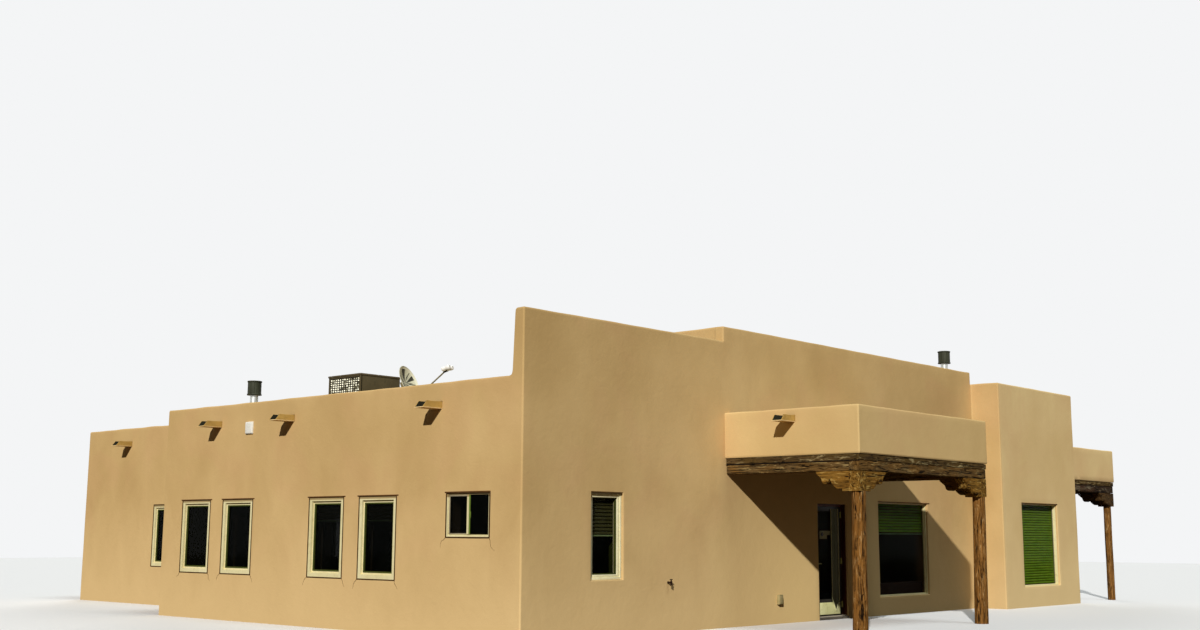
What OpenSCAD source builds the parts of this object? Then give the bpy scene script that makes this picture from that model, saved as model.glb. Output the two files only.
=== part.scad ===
// Adobe house: flat roofs behind parapets, a log porch in front and one at the right end.
// Millimetres. +Z is up, the front faces -Y and the long left wall faces -X.
// The origin is on the ground, under the middle of the whole model's box.

/* [Plan] */
// Length of the front wall from the left corner to the step in its parapet
front_left_w = 4855; // [4500:5:5300]
// Length of the front wall from that step to the projecting block
great_w = 9070; // [8800:5:9600]
// Width of the block at the right end
block_w = 3825; // [3400:5:4400]
// How far the block stands out from the front wall
block_out = 640; // [500:5:900]
// Depth of the tall front range
range_depth = 4900; // [4600:5:5100]
// Depth of the house from the front wall to the back wall
body_depth = 9640; // [9300:5:10200]
// Setback of the rear wing from the left wall
wing_setback = 1880; // [1600:5:2300]
// Width of the rear wing
wing_w = 6020; // [5400:5:6800]
// Length of the rear wing behind the back wall
wing_len = 6590; // [6000:5:7400]

/* [Walls and roofs] */
// Thickness of the outside walls
wall_t = 300; // [260:5:340]
// Thickness of the parapets
parapet_t = 180; // [140:5:220]
// Top of the low parapets
low_top = 3840; // [3700:5:4000]
// Top of the front wall left of the step
front_left_top = 4845; // [4600:5:5000]
// Top of the tall room's parapets
great_top = 5105; // [5050:5:5400]
// Top of the block's parapets
block_top = 4850; // [4700:5:5000]
// Height of a parapet above the roof deck behind it
parapet_h = 390; // [300:5:450]
// Thickness of a roof deck
deck_t = 200; // [150:5:240]
// Depth of the wall beam between the tall room and the block
cross_beam_h = 600; // [450:5:700]
// Floor height above the ground
floor_h = 40; // [20:1:80]

/* [Windows] */
// Width of a tall window
win_w = 920; // [800:5:980]
// Height of a tall window
win_h = 1306; // [1200:2:1400]
// Centre of the wing's window, from the back wall
wing_window_back = 3110; // [2400:5:3900]
// Sill height of the tall windows
win_sill = 820; // [700:5:900]
// Distance between the centres of a pair of tall windows
win_pitch = 1335; // [1250:5:1500]
// Centre of the front pair on the left wall, from the front wall
pair_near_y = 3917; // [3700:5:4100]
// Centre of the rear pair on the left wall, from the back wall
pair_far_back = 1807; // [1700:1:2000]
// Centre of the sliding window on the left wall, from the front wall
slider_y = 1136; // [1050:5:1300]
// Width of the sliding window
slider_w = 945; // [800:5:1000]
// Height of the sliding window
slider_h = 660; // [560:5:720]
// Sill height of the sliding window
slider_sill = 1490; // [1400:5:1560]
// Centre of the narrow front window, from the left corner
narrow_x = 1863; // [1600:5:2400]
// Width of the narrow front window
narrow_w = 736; // [640:4:820]
// Height of the narrow front window
narrow_h = 1327; // [1200:1:1400]
// Sill height of the narrow front window
narrow_sill = 849; // [780:1:900]
// Centre of the porch window, from the left corner
porch_win_x = 10825; // [10500:5:11300]
// Width of the porch window
porch_win_w = 1950; // [1700:5:2050]
// Height of the porch window
porch_win_h = 1833; // [1700:1:1900]
// Sill height of the porch window
porch_sill = 357; // [300:1:450]
// Centre of the block window, from the block's left corner
block_win_in = 1830; // [1700:5:2000]
// Width of the block window
block_win_w = 1820; // [1650:5:2000]
// Height of the block window
block_win_h = 1810; // [1700:5:1900]
// Sill height of the block window
block_sill = 447; // [350:1:500]
// Setback of the narrow window's frame
narrow_recess = 55; // [40:5:120]
// Setback of the porch window's and the block window's frames
wide_recess = 45; // [30:5:120]
// Setback of the window frames in the other walls
side_recess = 4; // [2:1:30]
// Visible width of the narrow window's frame with its sash
narrow_face = 95; // [80:1:110]
// Visible width of a tall window's frame with its sash
tall_face = 110; // [90:2:120]
// Face width of the porch window's and the block window's frames
wide_face = 32; // [24:1:45]
// Face width of the sliding window's frame
slider_face = 38; // [30:1:50]
// Depth of a window frame
frame_depth = 80; // [60:1:110]
// Depth of the sliding window's frame
slider_depth = 50; // [45:1:70]
// Height of the shadow gap over a tall window's frame
tall_head = 18; // [10:1:30]
// Height of the shadow gap over the sliding window's frame
slider_head = 28; // [15:1:34]
// Depth of those shadow gaps
head_set = 24; // [15:1:32]
// Thickness of a window pane
glass_t = 12; // [8:1:20]
// Thickness of a window blind
blind_t = 30; // [20:1:40]

/* [Door] */
// Centre of the doorway, from the left corner
door_x = 8195; // [7900:5:8400]
// Width of the doorway
door_w = 990; // [940:5:1060]
// Height of the doorway above the ground
door_top = 2118; // [2060:2:2160]
// Setback of the door leaf's outer face
door_recess = 115; // [105:1:130]
// Width of a door jamb
jamb_w = 48; // [36:1:60]
// Thickness of the door leaf
leaf_t = 45; // [40:1:50]
// Clearance at the leaf's sides, top and bottom
leaf_gap = 7; // [6:0.5:9]
// Width of the leaf's stiles and top rail
stile_w = 85; // [70:1:110]
// Height of the kick panel
kick_h = 300; // [260:5:340]
// Width of the long strip on the hinge side
strip_w = 240; // [200:5:260]
// Height of the threshold above the floor
sill_h = 18; // [12:1:24]
// Diameter of a hinge barrel
barrel_d = 16; // [14:0.5:18]
// Height of one hinge
hinge_h = 110; // [90:5:130]

/* [Porches] */
// Start of the front porch, from the left corner
porch_x = 4870; // [4860:5:5100]
// Width of the front porch
porch_w = 4380; // [4200:5:4700]
// Depth of the front porch
porch_out = 2640; // [2400:5:2900]
// Top of the front porch's parapet
porch_top = 3603; // [3500:1:3700]
// Underside of the stucco above the porch beams
fascia_z = 2823; // [2780:1:2860]
// Drop from a porch parapet's top to the porch roof behind it
porch_parapet_h = 210; // [150:5:260]
// Thickness of the porch planks
plank_t = 90; // [70:1:100]
// Height of the porch beams
beam_h = 183; // [160:1:210]
// Thickness of the porch beams
beam_t = 200; // [180:2:220]
// Setback of the beams from the stucco face
beam_inset = 30; // [20:5:70]
// Setback of the planks' edge from the stucco face
plank_inset = 20; // [10:1:25]
// Diameter of a log post at its top
post_top_d = 225; // [200:1:240]
// Diameter of a log post at its foot
post_foot_d = 245; // [220:1:260]
// Lean of the front porch's logs to the right, in degrees
post_lean = 1.4; // [0.8:0.1:1.8]
// Distance of the left log's foot from the middle of its beam
post_left_in = -16; // [-30:1:0]
// Distance of the right log's foot from the middle of its beam
post_right_in = -76; // [-90:1:-20]
// Width of the right-end porch
side_porch_w = 2500; // [2200:5:2700]
// Depth of the right-end porch, along the right wall
side_porch_d = 4200; // [3900:5:4700]
// Setback of the right-end porch from the block's front
side_setback = 60; // [30:5:100]
// How much higher the right-end porch is than the front porch
side_rise = 45; // [0:5:60]
// Diameter of the right-end porch's logs
side_post_d = 184; // [170:2:210]
// Distance of the right-end porch's logs in from the middle of its end beam
side_post_in = 90; // [60:2:120]

/* [Corbels] */
// Height of a corbel
corbel_h = 320; // [300:2:340]
// Length of a corbel arm from the post's axis
corbel_len = 725; // [700:5:800]
// Half length of the flat bearing block under a corbel
corbel_block = 225; // [200:1:240]
// Radius of the round lobe near a corbel's tip
lobe_r = 71; // [64:1:78]
// Radius of the swept belly between the lobe and the block
belly_r = 260; // [240:2:270]
// Length of a bracket on the block's wall
bracket_len = 230; // [200:5:300]
// Height of a bracket on the block's wall
bracket_h = 270; // [220:5:300]

/* [Roof spouts] */
// Width of a roof spout
spout_w = 200; // [160:5:240]
// Height of a roof spout
spout_h = 112; // [90:1:130]
// Board thickness of a roof spout
spout_t = 20; // [15:1:30]
// Projection of a spout's floor beyond the wall
spout_out = 390; // [320:5:450]
// How much shorter a spout's top is than its floor
spout_cut = 95; // [60:5:120]
// Near edges of the left wall's spouts, from the front wall
spout_left_y = [1766, 5570, 7788];
// Near edge of the wing's spout, from the wing's back wall
spout_wing_back = 1940; // [1600:5:2300]
// Near edge of the porch's spout, forward of the front wall
spout_porch_y = 1430; // [1200:5:1700]

/* [Rooftop] */
// Place of the rooftop unit's left side, from the left wall
unit_x = 2800; // [2500:5:3100]
// Place of the rooftop unit's near side, from the back wall
unit_back = 2280; // [2000:5:2600]
// Width of the rooftop unit
unit_w = 1000; // [800:5:1050]
// Depth of the rooftop unit
unit_d = 1020; // [950:5:1200]
// Height of the rooftop unit's cabinet
unit_h = 1006; // [900:2:1100]
// Height of the curb under the rooftop unit
curb_h = 200; // [150:5:300]
// Overhang of the rooftop unit's lid
lid_over = 14; // [8:1:20]
// Thickness of the rooftop unit's lid
lid_t = 40; // [30:1:60]
// Place of the dish's rim centre, from the left front corner
dish_at = [1500, 4330];
// Height of the dish's centre above the roof
dish_rise = 712; // [640:4:800]
// Radius of the dish
dish_r = 300; // [260:5:340]
// Depth of the dish's bowl
dish_bowl = 85; // [60:1:100]
// Thickness of the dish's sheet
dish_t = 8; // [6:1:12]
// Upward tilt of the dish
dish_tilt = 23; // [15:1:35]
// Heading of the dish, from +X
dish_turn = -69; // [-80:1:-50]
// Distance of the feed in front of the dish's rim
feed_arm = 640; // [560:10:700]
// Place of the left vent, from the left wall
vent_left_x = 1440; // [1100:5:1700]
// Distance of the left vent from the back wall
vent_left_back = 690; // [600:5:1000]
// Distance of the right vent from the block's left edge
vent_right_in = 425; // [400:5:700]
// Distance of the right vent behind the front wall
vent_right_y = 850; // [700:5:1200]
// Height of a vent above its roof
vent_h = 1040; // [900:5:1200]
// How much taller the right vent is
vent_extra = 200; // [100:5:300]
// Diameter of a vent pipe
vent_pipe_d = 158; // [140:2:180]
// Diameter of a vent cap
vent_cap_d = 284; // [250:2:310]
// Height of a vent cap
vent_cap_h = 285; // [240:5:320]

/* [Wall fixtures] */
// Centre of the box high on the left wall, from the front wall
box_y = 6887; // [6800:1:7000]
// Height of the box's underside
box_z = 3274; // [3180:1:3300]
// Width and height of the box
box_w = 215; // [180:5:260]
// Depth of the box
box_d = 35; // [25:5:60]
// Place of the garden tap, from the left corner
tap_x = 3320; // [3200:5:3600]
// Height of the garden tap
tap_z = 780; // [700:5:860]
// Place of the outdoor socket, from the left corner
socket_x = 6400; // [6200:5:6600]
// Height of the outdoor socket's underside
socket_z = 330; // [280:5:400]
// Width of the outdoor socket's cover
socket_w = 120; // [90:5:150]
// Height of the outdoor socket's cover
socket_h = 170; // [150:5:200]

/* [Hidden] */

$fn = 48;
// Overrun of every cutting solid
eps = 5;
// Where a pane stands in its frame's depth
pane_back = 0.75;

stucco = "#D3AE72";
roof_grey = "#B9AE9A";
timber = "#6B4F33";
log_wood = "#9A6A35";
carved_wood = "#8A6A34";
frame_cream = "#E2D9A0";
glass_dark = "#1C2226";
blind_green = "#3F5A38";
door_brown = "#3A2418";
metal_grey = "#A8A8A4";
unit_brown = "#5A4A38";
board_beige = "#A79468";
box_white = "#E6E2D4";
concrete = "#B3A78F";

// Plan lines
great_end = front_left_w + great_w;
house_w = great_end + block_w;
wing_end = wing_setback + wing_w;
wing_back = body_depth + wing_len;
side_end = house_w + side_porch_w;

// Roof levels
low_deck = low_top - parapet_h;
great_deck = great_top - parapet_h;
block_deck = block_top - parapet_h;
low_ledge = low_deck - deck_t;
great_ledge = great_deck - deck_t;
block_ledge = block_deck - deck_t;
deck_edge = wall_t - parapet_t;

// Porch levels
beam_top = fascia_z - plank_t;
beam_z = beam_top - beam_h;
post_h = beam_z - corbel_h;
post_inset = beam_inset + beam_t / 2;
porch_end = porch_x + porch_w;
porch_deck = porch_top - porch_parapet_h;
side_front = -block_out + side_setback;

// The whole model's box, for the origin
spout_reach = -spout_out;
origin_x = (spout_reach + side_end) / 2;
origin_y = (-porch_out + wing_back) / 2;

// Places each wall so that x runs along it, y goes inward and y = 0 is its outer face
module in_house() {
  translate([-origin_x, -origin_y, 0]) children();
}
module on_front() {
  in_house() children();
}
module on_block() {
  in_house() translate([0, -block_out, 0]) children();
}
module on_left() {
  in_house() mirror([1, -1, 0]) children();
}
module on_back() {
  in_house() translate([0, body_depth, 0]) mirror([0, 1, 0]) children();
}
module on_right() {
  in_house() translate([house_w, 0, 0]) rotate([0, 0, 90]) children();
}
module on_wing_left() {
  in_house() translate([wing_setback, 0, 0]) mirror([1, -1, 0]) children();
}
module on_wing_back() {
  in_house() translate([0, wing_back, 0]) mirror([0, 1, 0]) children();
}
module on_wing_right() {
  in_house() translate([wing_end, 0, 0]) rotate([0, 0, 90]) children();
}

// A wall with a ledge: thick up to the roof deck, a thin parapet above it
module wall_run(from, to, top_from, top_to, ledge, top, foot = 0) {
  translate([from, 0, foot]) cube([to - from, wall_t, ledge - foot]);
  translate([top_from, 0, ledge]) cube([top_to - top_from, parapet_t, top - ledge]);
}

// A hole right through a wall, centred on x
module opening(x, z, w, h) {
  translate([x - w / 2, -eps, z]) cube([w, wall_t + 2 * eps, h]);
}

// Front wall, left of the step
module front_wall_left() {
  color(stucco) on_front() difference() {
    wall_run(0, front_left_w, 0, front_left_w, low_ledge, front_left_top);
    opening(narrow_x, narrow_sill, narrow_w, narrow_h);
  }
}

door_left = door_x - door_w / 2;
door_right = door_x + door_w / 2;

// Front wall between the step and the doorway
module front_wall_middle() {
  color(stucco) on_front()
    wall_run(front_left_w, door_left, front_left_w, door_left, great_ledge, great_top);
}

// Front wall over the doorway
module front_wall_over_door() {
  color(stucco) on_front()
    wall_run(door_left, door_right, door_left, door_right, great_ledge, great_top, door_top);
}

// Front wall from the doorway to the projecting block
module front_wall_right() {
  color(stucco) on_front() difference() {
    wall_run(door_right, great_end, door_right, great_end, great_ledge, great_top);
    opening(porch_win_x, porch_sill, porch_win_w, porch_win_h);
  }
}

block_win_x = great_end + block_win_in;

// Front of the block with its short return to the front wall
module block_front_wall() {
  color(stucco) on_block() {
    difference() {
      wall_run(great_end, house_w, great_end, house_w, block_ledge, block_top);
      opening(block_win_x, block_sill, block_win_w, block_win_h);
    }
    translate([great_end, wall_t, 0]) cube([wall_t, block_out, block_ledge]);
    translate([great_end, parapet_t, block_ledge])
      cube([parapet_t, block_out - parapet_t, block_top - block_ledge]);
  }
}

pair_far_y = body_depth - pair_far_back;
left_windows = [
  pair_near_y - win_pitch / 2, pair_near_y + win_pitch / 2,
  pair_far_y - win_pitch / 2, pair_far_y + win_pitch / 2
];

// Long left wall with two pairs of windows, the slider and three spout slots
module left_wall() {
  color(stucco) on_left() difference() {
    wall_run(wall_t, body_depth, parapet_t, body_depth, low_ledge, low_top);
    for (y = left_windows) opening(y, win_sill, win_w, win_h);
    opening(slider_y, slider_sill, slider_w, slider_h);
    for (y = spout_left_y) spout_slot(y);
  }
}

// Centres of the plainly repeated windows at the back
back_windows = [wing_end + win_pitch * 1.5, (wing_end + house_w) / 2 + win_pitch,
                house_w - win_pitch * 1.5];
wing_window_y = body_depth + wing_window_back;
spout_wing_y = wing_back - spout_wing_back;
wing_side_x = (body_depth + wing_back) / 2;
wing_back_x = wing_setback + wing_w / 2;
right_window_y = (range_depth + body_depth) / 2;

// Back wall: a short piece left of the wing and a long one right of it
module back_wall() {
  color(stucco) on_back() {
    wall_run(wall_t, wing_setback, parapet_t, wing_setback, low_ledge, low_top);
    difference() {
      wall_run(wing_end, house_w - wall_t, wing_end, house_w - parapet_t, low_ledge, low_top);
      for (x = back_windows) opening(x, win_sill, win_w, win_h);
    }
  }
}

// Right wall, tall beside the block and low behind it
module right_wall() {
  color(stucco) on_right() difference() {
    union() {
      wall_run(wall_t - block_out, range_depth, parapet_t - block_out, range_depth,
               block_ledge, block_top);
      wall_run(range_depth, body_depth, range_depth, body_depth, low_ledge, low_top);
    }
    opening(right_window_y, win_sill, win_w, win_h);
  }
}

// Left wall of the rear wing
module wing_left_wall() {
  color(stucco) on_wing_left() difference() {
    wall_run(body_depth - wall_t, wing_back, body_depth - parapet_t, wing_back,
             low_ledge, low_top);
    opening(wing_window_y, win_sill, win_w, win_h);
    spout_slot(spout_wing_y);
  }
}

// Back wall of the rear wing
module wing_back_wall() {
  color(stucco) on_wing_back() difference() {
    wall_run(wing_setback + wall_t, wing_end - wall_t, wing_setback + parapet_t,
             wing_end - parapet_t, low_ledge, low_top);
    for (x = [wing_back_x - win_pitch / 2, wing_back_x + win_pitch / 2])
      opening(x, win_sill, win_w, win_h);
  }
}

// Right wall of the rear wing
module wing_right_wall() {
  color(stucco) on_wing_right() difference() {
    wall_run(body_depth - wall_t, wing_back, body_depth - parapet_t, wing_back,
             low_ledge, low_top);
    for (y = [wing_side_x - win_pitch, wing_side_x + win_pitch])
      opening(y, win_sill, win_w, win_h);
  }
}

// Left wall of the tall room, standing on the low roof
module great_left_wall() {
  color(stucco) in_house() translate([front_left_w, 0, 0]) mirror([1, -1, 0])
    wall_run(wall_t, range_depth, parapet_t, range_depth, great_ledge, great_top, low_deck);
}

// Back wall of the tall room, standing on the low roof
module great_back_wall() {
  color(stucco) in_house() translate([0, range_depth, 0]) mirror([0, 1, 0])
    wall_run(front_left_w + wall_t, great_end, front_left_w + parapet_t, great_end,
             great_ledge, great_top, low_deck);
}

// Wall beam and parapet between the tall room and the block
module great_right_wall() {
  color(stucco) in_house() translate([great_end, 0, 0]) rotate([0, 0, 90])
    wall_run(wall_t, range_depth - wall_t, parapet_t, range_depth - parapet_t,
             great_ledge, great_top, block_ledge - cross_beam_h / 3);
}

// Back wall of the block, standing on the low roof
module block_back_wall() {
  color(stucco) in_house() translate([0, range_depth, 0]) mirror([0, 1, 0])
    wall_run(great_end, house_w - wall_t, great_end, house_w - parapet_t,
             block_ledge, block_top, low_deck);
}

// A roof deck of one outline
module deck(points, top) {
  color(roof_grey) in_house() translate([0, 0, top - deck_t])
    linear_extrude(deck_t) polygon(points);
}

// Low roof left of the tall room
module low_roof_left() {
  deck([[parapet_t, parapet_t], [front_left_w, parapet_t], [front_left_w, wall_t],
        [front_left_w + wall_t, wall_t], [front_left_w + wall_t, range_depth - wall_t],
        [parapet_t, range_depth - wall_t]], low_deck);
}

// Low roof behind the tall range
module low_roof_back() {
  inner_y = range_depth - wall_t;
  deck([[parapet_t, inner_y], [house_w - wall_t, inner_y], [house_w - wall_t, range_depth],
        [house_w - parapet_t, range_depth], [house_w - parapet_t, body_depth - parapet_t],
        [parapet_t, body_depth - parapet_t]], low_deck);
}

// Roof of the rear wing
module wing_roof() {
  x0 = wing_setback + parapet_t;
  x1 = wing_end - parapet_t;
  y0 = body_depth - parapet_t;
  y1 = wing_back - parapet_t;
  deck([[x0, y0], [x1, y0], [x1, y1], [x0, y1]], low_deck);
}

// Roof of the tall room
module great_roof() {
  x0 = front_left_w + parapet_t;
  x1 = great_end - parapet_t;
  y1 = range_depth - parapet_t;
  deck([[x0, parapet_t], [x1, parapet_t], [x1, y1], [x0, y1]], great_deck);
}

// Roof of the block
module block_roof() {
  x1 = house_w - parapet_t;
  y0 = parapet_t - block_out;
  y1 = range_depth - parapet_t;
  deck([[great_end, 0], [great_end + parapet_t, 0], [great_end + parapet_t, y0],
        [x1, y0], [x1, y1], [great_end, y1]], block_deck);
}

// Floor inside all walls, with a strip through the doorway
module floor_slab() {
  yb = wall_t - block_out;
  y1 = body_depth - wall_t;
  x1 = house_w - wall_t;
  color(concrete) in_house() linear_extrude(floor_h)
    polygon([[wall_t, wall_t], [door_left, wall_t], [door_left, 0], [door_right, 0],
             [door_right, wall_t], [great_end + wall_t, wall_t], [great_end + wall_t, yb],
             [x1, yb], [x1, y1], [wing_end - wall_t, y1],
             [wing_end - wall_t, wing_back - wall_t], [wing_setback + wall_t, wing_back - wall_t],
             [wing_setback + wall_t, y1], [wall_t, y1]]);
}

// Three-sided parapet of a porch, open to the wall behind it; y = 0 is the front
module porch_ring(w, d, z0, ledge, top) {
  for (part = [[wall_t, z0, ledge], [parapet_t, ledge, top]])
    translate([0, 0, part[1]]) linear_extrude(part[2] - part[1]) difference() {
      square([w, d]);
      translate([part[0], part[0]]) square([w - 2 * part[0], d]);
    }
}

porch_deck_t = 120;

module on_porch() {
  in_house() translate([porch_x, -porch_out, 0]) children();
}

// The right-end porch has its outer corner at the front right
module on_side_porch() {
  in_house() translate([house_w, side_front, side_rise]) children();
}

// Stucco parapet of the front porch
module porch_parapet() {
  color(stucco) on_porch() difference() {
    porch_ring(porch_w, porch_out, fascia_z, porch_deck - porch_deck_t, porch_top);
    translate([0, porch_out - spout_porch_y, 0]) mirror([1, -1, 0])
      spout_slot_at(0, porch_deck - spout_t);
  }
}

// Roof inside the front porch's parapet
module porch_roof() {
  color(roof_grey) on_porch() translate([parapet_t, parapet_t, porch_deck - porch_deck_t])
    cube([porch_w - 2 * parapet_t, porch_out - parapet_t, porch_deck_t]);
}

// Planks over the front porch's beams
module porch_planks() {
  color(timber) on_porch() translate([plank_inset, plank_inset, beam_top])
    cube([porch_w - 2 * plank_inset, porch_out - plank_inset, plank_t]);
}

// Front beam and the two side beams that carry a porch
module porch_beams() {
  color(timber) on_porch() translate([0, 0, beam_z]) {
    translate([beam_inset, beam_inset, 0]) cube([porch_w - 2 * beam_inset, beam_t, beam_h]);
    for (x = [beam_inset, porch_w - beam_inset - beam_t])
      translate([x, beam_inset + beam_t, 0])
        cube([beam_t, porch_out - beam_inset - beam_t, beam_h]);
  }
}

// Side view of one corbel arm: x away from the post's axis, y up to the beam
module corbel_outline() {
  lobe_x = 545;
  lobe_y = -corbel_h * 0.4;
  belly_x = 205;
  belly_drop = 47;
  belly_cut = 38;
  nose_drop = 103;
  nose_rise = 10;
  nose_in = 97;
  nose_out = 85;
  end_drop = 24;
  half = beam_t / 2;
  intersection() {
    union() {
      translate([-half, -corbel_h]) square([half + corbel_block, corbel_h]);
      intersection() {
        translate([belly_x, -belly_drop]) circle(r = belly_r);
        translate([0, belly_cut - corbel_h]) square([corbel_len, corbel_h]);
      }
      translate([lobe_x, lobe_y]) circle(r = lobe_r);
      polygon([[0, lobe_y], [lobe_x + lobe_r, lobe_y], [corbel_len - nose_in, -nose_drop],
               [corbel_len - nose_out, nose_rise - nose_drop], [corbel_len, -end_drop],
               [corbel_len, 0], [0, 0]]);
    }
    translate([-half, -corbel_h]) square([half + corbel_len, corbel_h]);
  }
}

// One corbel arm pointing along +X from a post's axis at the origin
module corbel_arm() {
  translate([0, beam_t / 2, 0]) rotate([90, 0, 0]) linear_extrude(beam_t) corbel_outline();
}

// Corner corbel: one arm along the front beam and one along the side beam
module corner_corbel(side) {
  translate([0, 0, beam_z]) union() {
    if (side > 0) corbel_arm();
    else mirror([1, 0, 0]) corbel_arm();
    rotate([0, 0, 90]) corbel_arm();
  }
}

// Carved corbels of the front porch
module porch_corbels() {
  color(carved_wood) on_porch() {
    translate([post_inset, post_inset, 0]) corner_corbel(1);
    translate([porch_w - post_inset, post_inset, 0]) corner_corbel(-1);
  }
}

// A peeled log post, a little thicker at its foot, leaning to the right
module log_post() {
  over = 20;
  reach = post_foot_d * 2;
  intersection() {
    rotate([0, post_lean, 0]) translate([0, 0, -over])
      cylinder(d1 = post_foot_d, d2 = post_top_d, h = post_h + 2 * over);
    translate([-reach, -reach, 0]) cube([2 * reach, 2 * reach, post_h]);
  }
}

// Log posts of the front porch
module porch_posts() {
  color(log_wood) on_porch()
    for (x = [post_inset + post_left_in, porch_w - post_inset + post_right_in])
      translate([x, post_inset, 0]) log_post();
}

// Parapet of the right-end porch, closed at the front, right and back
module side_porch_parapet() {
  ledge = porch_deck - porch_deck_t;
  color(stucco) on_side_porch()
    for (part = [[wall_t, fascia_z, ledge], [parapet_t, ledge, porch_top]])
      translate([0, 0, part[1]]) linear_extrude(part[2] - part[1]) difference() {
        square([side_porch_w, side_porch_d]);
        translate([-eps, part[0]])
          square([side_porch_w + eps - part[0], side_porch_d - 2 * part[0]]);
      }
}

// Roof inside the right-end porch's parapet
module side_porch_roof() {
  color(roof_grey) on_side_porch() translate([0, parapet_t, porch_deck - porch_deck_t])
    cube([side_porch_w - parapet_t, side_porch_d - 2 * parapet_t, porch_deck_t]);
}

// Planks over the right-end porch's beams
module side_porch_planks() {
  color(timber) on_side_porch() translate([0, plank_inset, beam_top])
    cube([side_porch_w - plank_inset, side_porch_d - 2 * plank_inset, plank_t]);
}

// Beams of the right-end porch: front, back and the long one between them
module side_porch_beams() {
  run = side_porch_d - 2 * beam_inset;
  color(timber) on_side_porch() translate([0, 0, beam_z]) {
    for (y = [beam_inset, side_porch_d - beam_inset - beam_t])
      translate([0, y, 0]) cube([side_porch_w - beam_inset, beam_t, beam_h]);
    translate([side_porch_w - beam_inset - beam_t, beam_inset + beam_t, 0])
      cube([beam_t, run - 2 * beam_t, beam_h]);
  }
}

// Short swept bracket on the block's wall, under a beam's end
module wall_bracket() {
  foot = 50;
  tip_h = 60;
  translate([0, beam_t / 2, 0]) rotate([90, 0, 0]) linear_extrude(beam_t) difference() {
    translate([0, -bracket_h]) square([bracket_len, bracket_h]);
    translate([bracket_len, -bracket_h])
      scale([1, (bracket_h - tip_h) / (bracket_len - foot)]) circle(r = bracket_len - foot);
  }
}

// Carved corbels of the right-end porch's posts, and the brackets on the block's wall
module side_porch_corbels() {
  color(carved_wood) on_side_porch() {
    translate([side_porch_w - post_inset, post_inset, 0]) corner_corbel(-1);
    translate([side_porch_w - post_inset, side_porch_d - post_inset, 0]) mirror([0, 1, 0])
      corner_corbel(-1);
    for (y = [post_inset, side_porch_d - post_inset])
      translate([0, y, beam_z]) wall_bracket();
  }
}

// Log posts of the right-end porch
module side_porch_posts() {
  color(log_wood) on_side_porch()
    translate([side_porch_w - post_inset - side_post_in, 0, -side_rise])
      for (y = [post_inset, side_porch_d - post_inset])
        translate([0, y, 0]) cylinder(d = side_post_d, h = post_h + side_rise);
}

// A stepped window frame that fills an opening, with a shadow gap cut along its head
module window_frame(x, z, w, h, recess, face, depth = frame_depth, head = 0) {
  lip = face * 0.6;
  translate([x - w / 2, recess, z]) difference() {
    cube([w, depth, h]);
    translate([lip, -eps, lip]) cube([w - 2 * lip, eps + depth / 2, h - 2 * lip]);
    translate([face, -eps, face]) cube([w - 2 * face, depth + 2 * eps, h - 2 * face]);
    if (head > 0)
      translate([-eps, -eps, h - head]) cube([w + 2 * eps, head_set + eps, head + eps]);
  }
}

// A pane that fills a window frame
module window_pane(x, z, w, h, recess, face) {
  translate([x - w / 2 + face, recess + frame_depth * pane_back, z + face])
    cube([w - 2 * face, glass_t, h - 2 * face]);
}

// Frame and pane of a tall window
module tall_frame(x) {
  window_frame(x, win_sill, win_w, win_h, side_recess, tall_face, frame_depth, tall_head);
}
module tall_pane(x) {
  window_pane(x, win_sill, win_w, win_h, side_recess, tall_face);
}

// The sliding window: its frame with the meeting stile, and its two panes, one behind the other
module slider_frame() {
  window_frame(slider_y, slider_sill, slider_w, slider_h, side_recess, slider_face, slider_depth,
               slider_head);
  translate([slider_y - slider_face / 2, side_recess, slider_sill + slider_face])
    cube([slider_face, slider_depth, slider_h - 2 * slider_face]);
}
module slider_panes() {
  pane_w = slider_w / 2 - slider_face * 1.5;
  near_pane = slider_depth * 0.2;
  far_pane = slider_depth * 0.6;
  for (part = [[slider_y - slider_w / 2 + slider_face, near_pane],
               [slider_y + slider_face / 2, far_pane]])
    translate([part[0], side_recess + part[1], slider_sill + slider_face])
      cube([pane_w, glass_t, slider_h - 2 * slider_face]);
}

// Window frames of the left wall and of the wing's left wall
module left_window_frames() {
  color(frame_cream) {
    on_left() {
      for (y = left_windows) tall_frame(y);
      slider_frame();
    }
    on_wing_left() tall_frame(wing_window_y);
  }
}

// Panes of the left wall and of the wing's left wall
module left_window_glass() {
  color(glass_dark) {
    on_left() {
      for (y = left_windows) tall_pane(y);
      slider_panes();
    }
    on_wing_left() tall_pane(wing_window_y);
  }
}

// Window frames of the front walls
module front_window_frames() {
  color(frame_cream) {
    on_front() {
      window_frame(narrow_x, narrow_sill, narrow_w, narrow_h, narrow_recess, narrow_face);
      window_frame(porch_win_x, porch_sill, porch_win_w, porch_win_h, wide_recess, wide_face);
    }
    on_block()
      window_frame(block_win_x, block_sill, block_win_w, block_win_h, wide_recess, wide_face);
  }
}

// Panes of the front walls
module front_window_glass() {
  color(glass_dark) {
    on_front() {
      window_pane(narrow_x, narrow_sill, narrow_w, narrow_h, narrow_recess, narrow_face);
      window_pane(porch_win_x, porch_sill, porch_win_w, porch_win_h, wide_recess, wide_face);
    }
    on_block()
      window_pane(block_win_x, block_sill, block_win_w, block_win_h, wide_recess, wide_face);
  }
}

// Window frames of the back, right and wing walls
module rear_window_frames() {
  color(frame_cream) {
    on_back() for (x = back_windows) tall_frame(x);
    on_right() tall_frame(right_window_y);
    on_wing_back() for (x = [wing_back_x - win_pitch / 2, wing_back_x + win_pitch / 2])
      tall_frame(x);
    on_wing_right() for (y = [wing_side_x - win_pitch, wing_side_x + win_pitch])
      tall_frame(y);
  }
}

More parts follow.
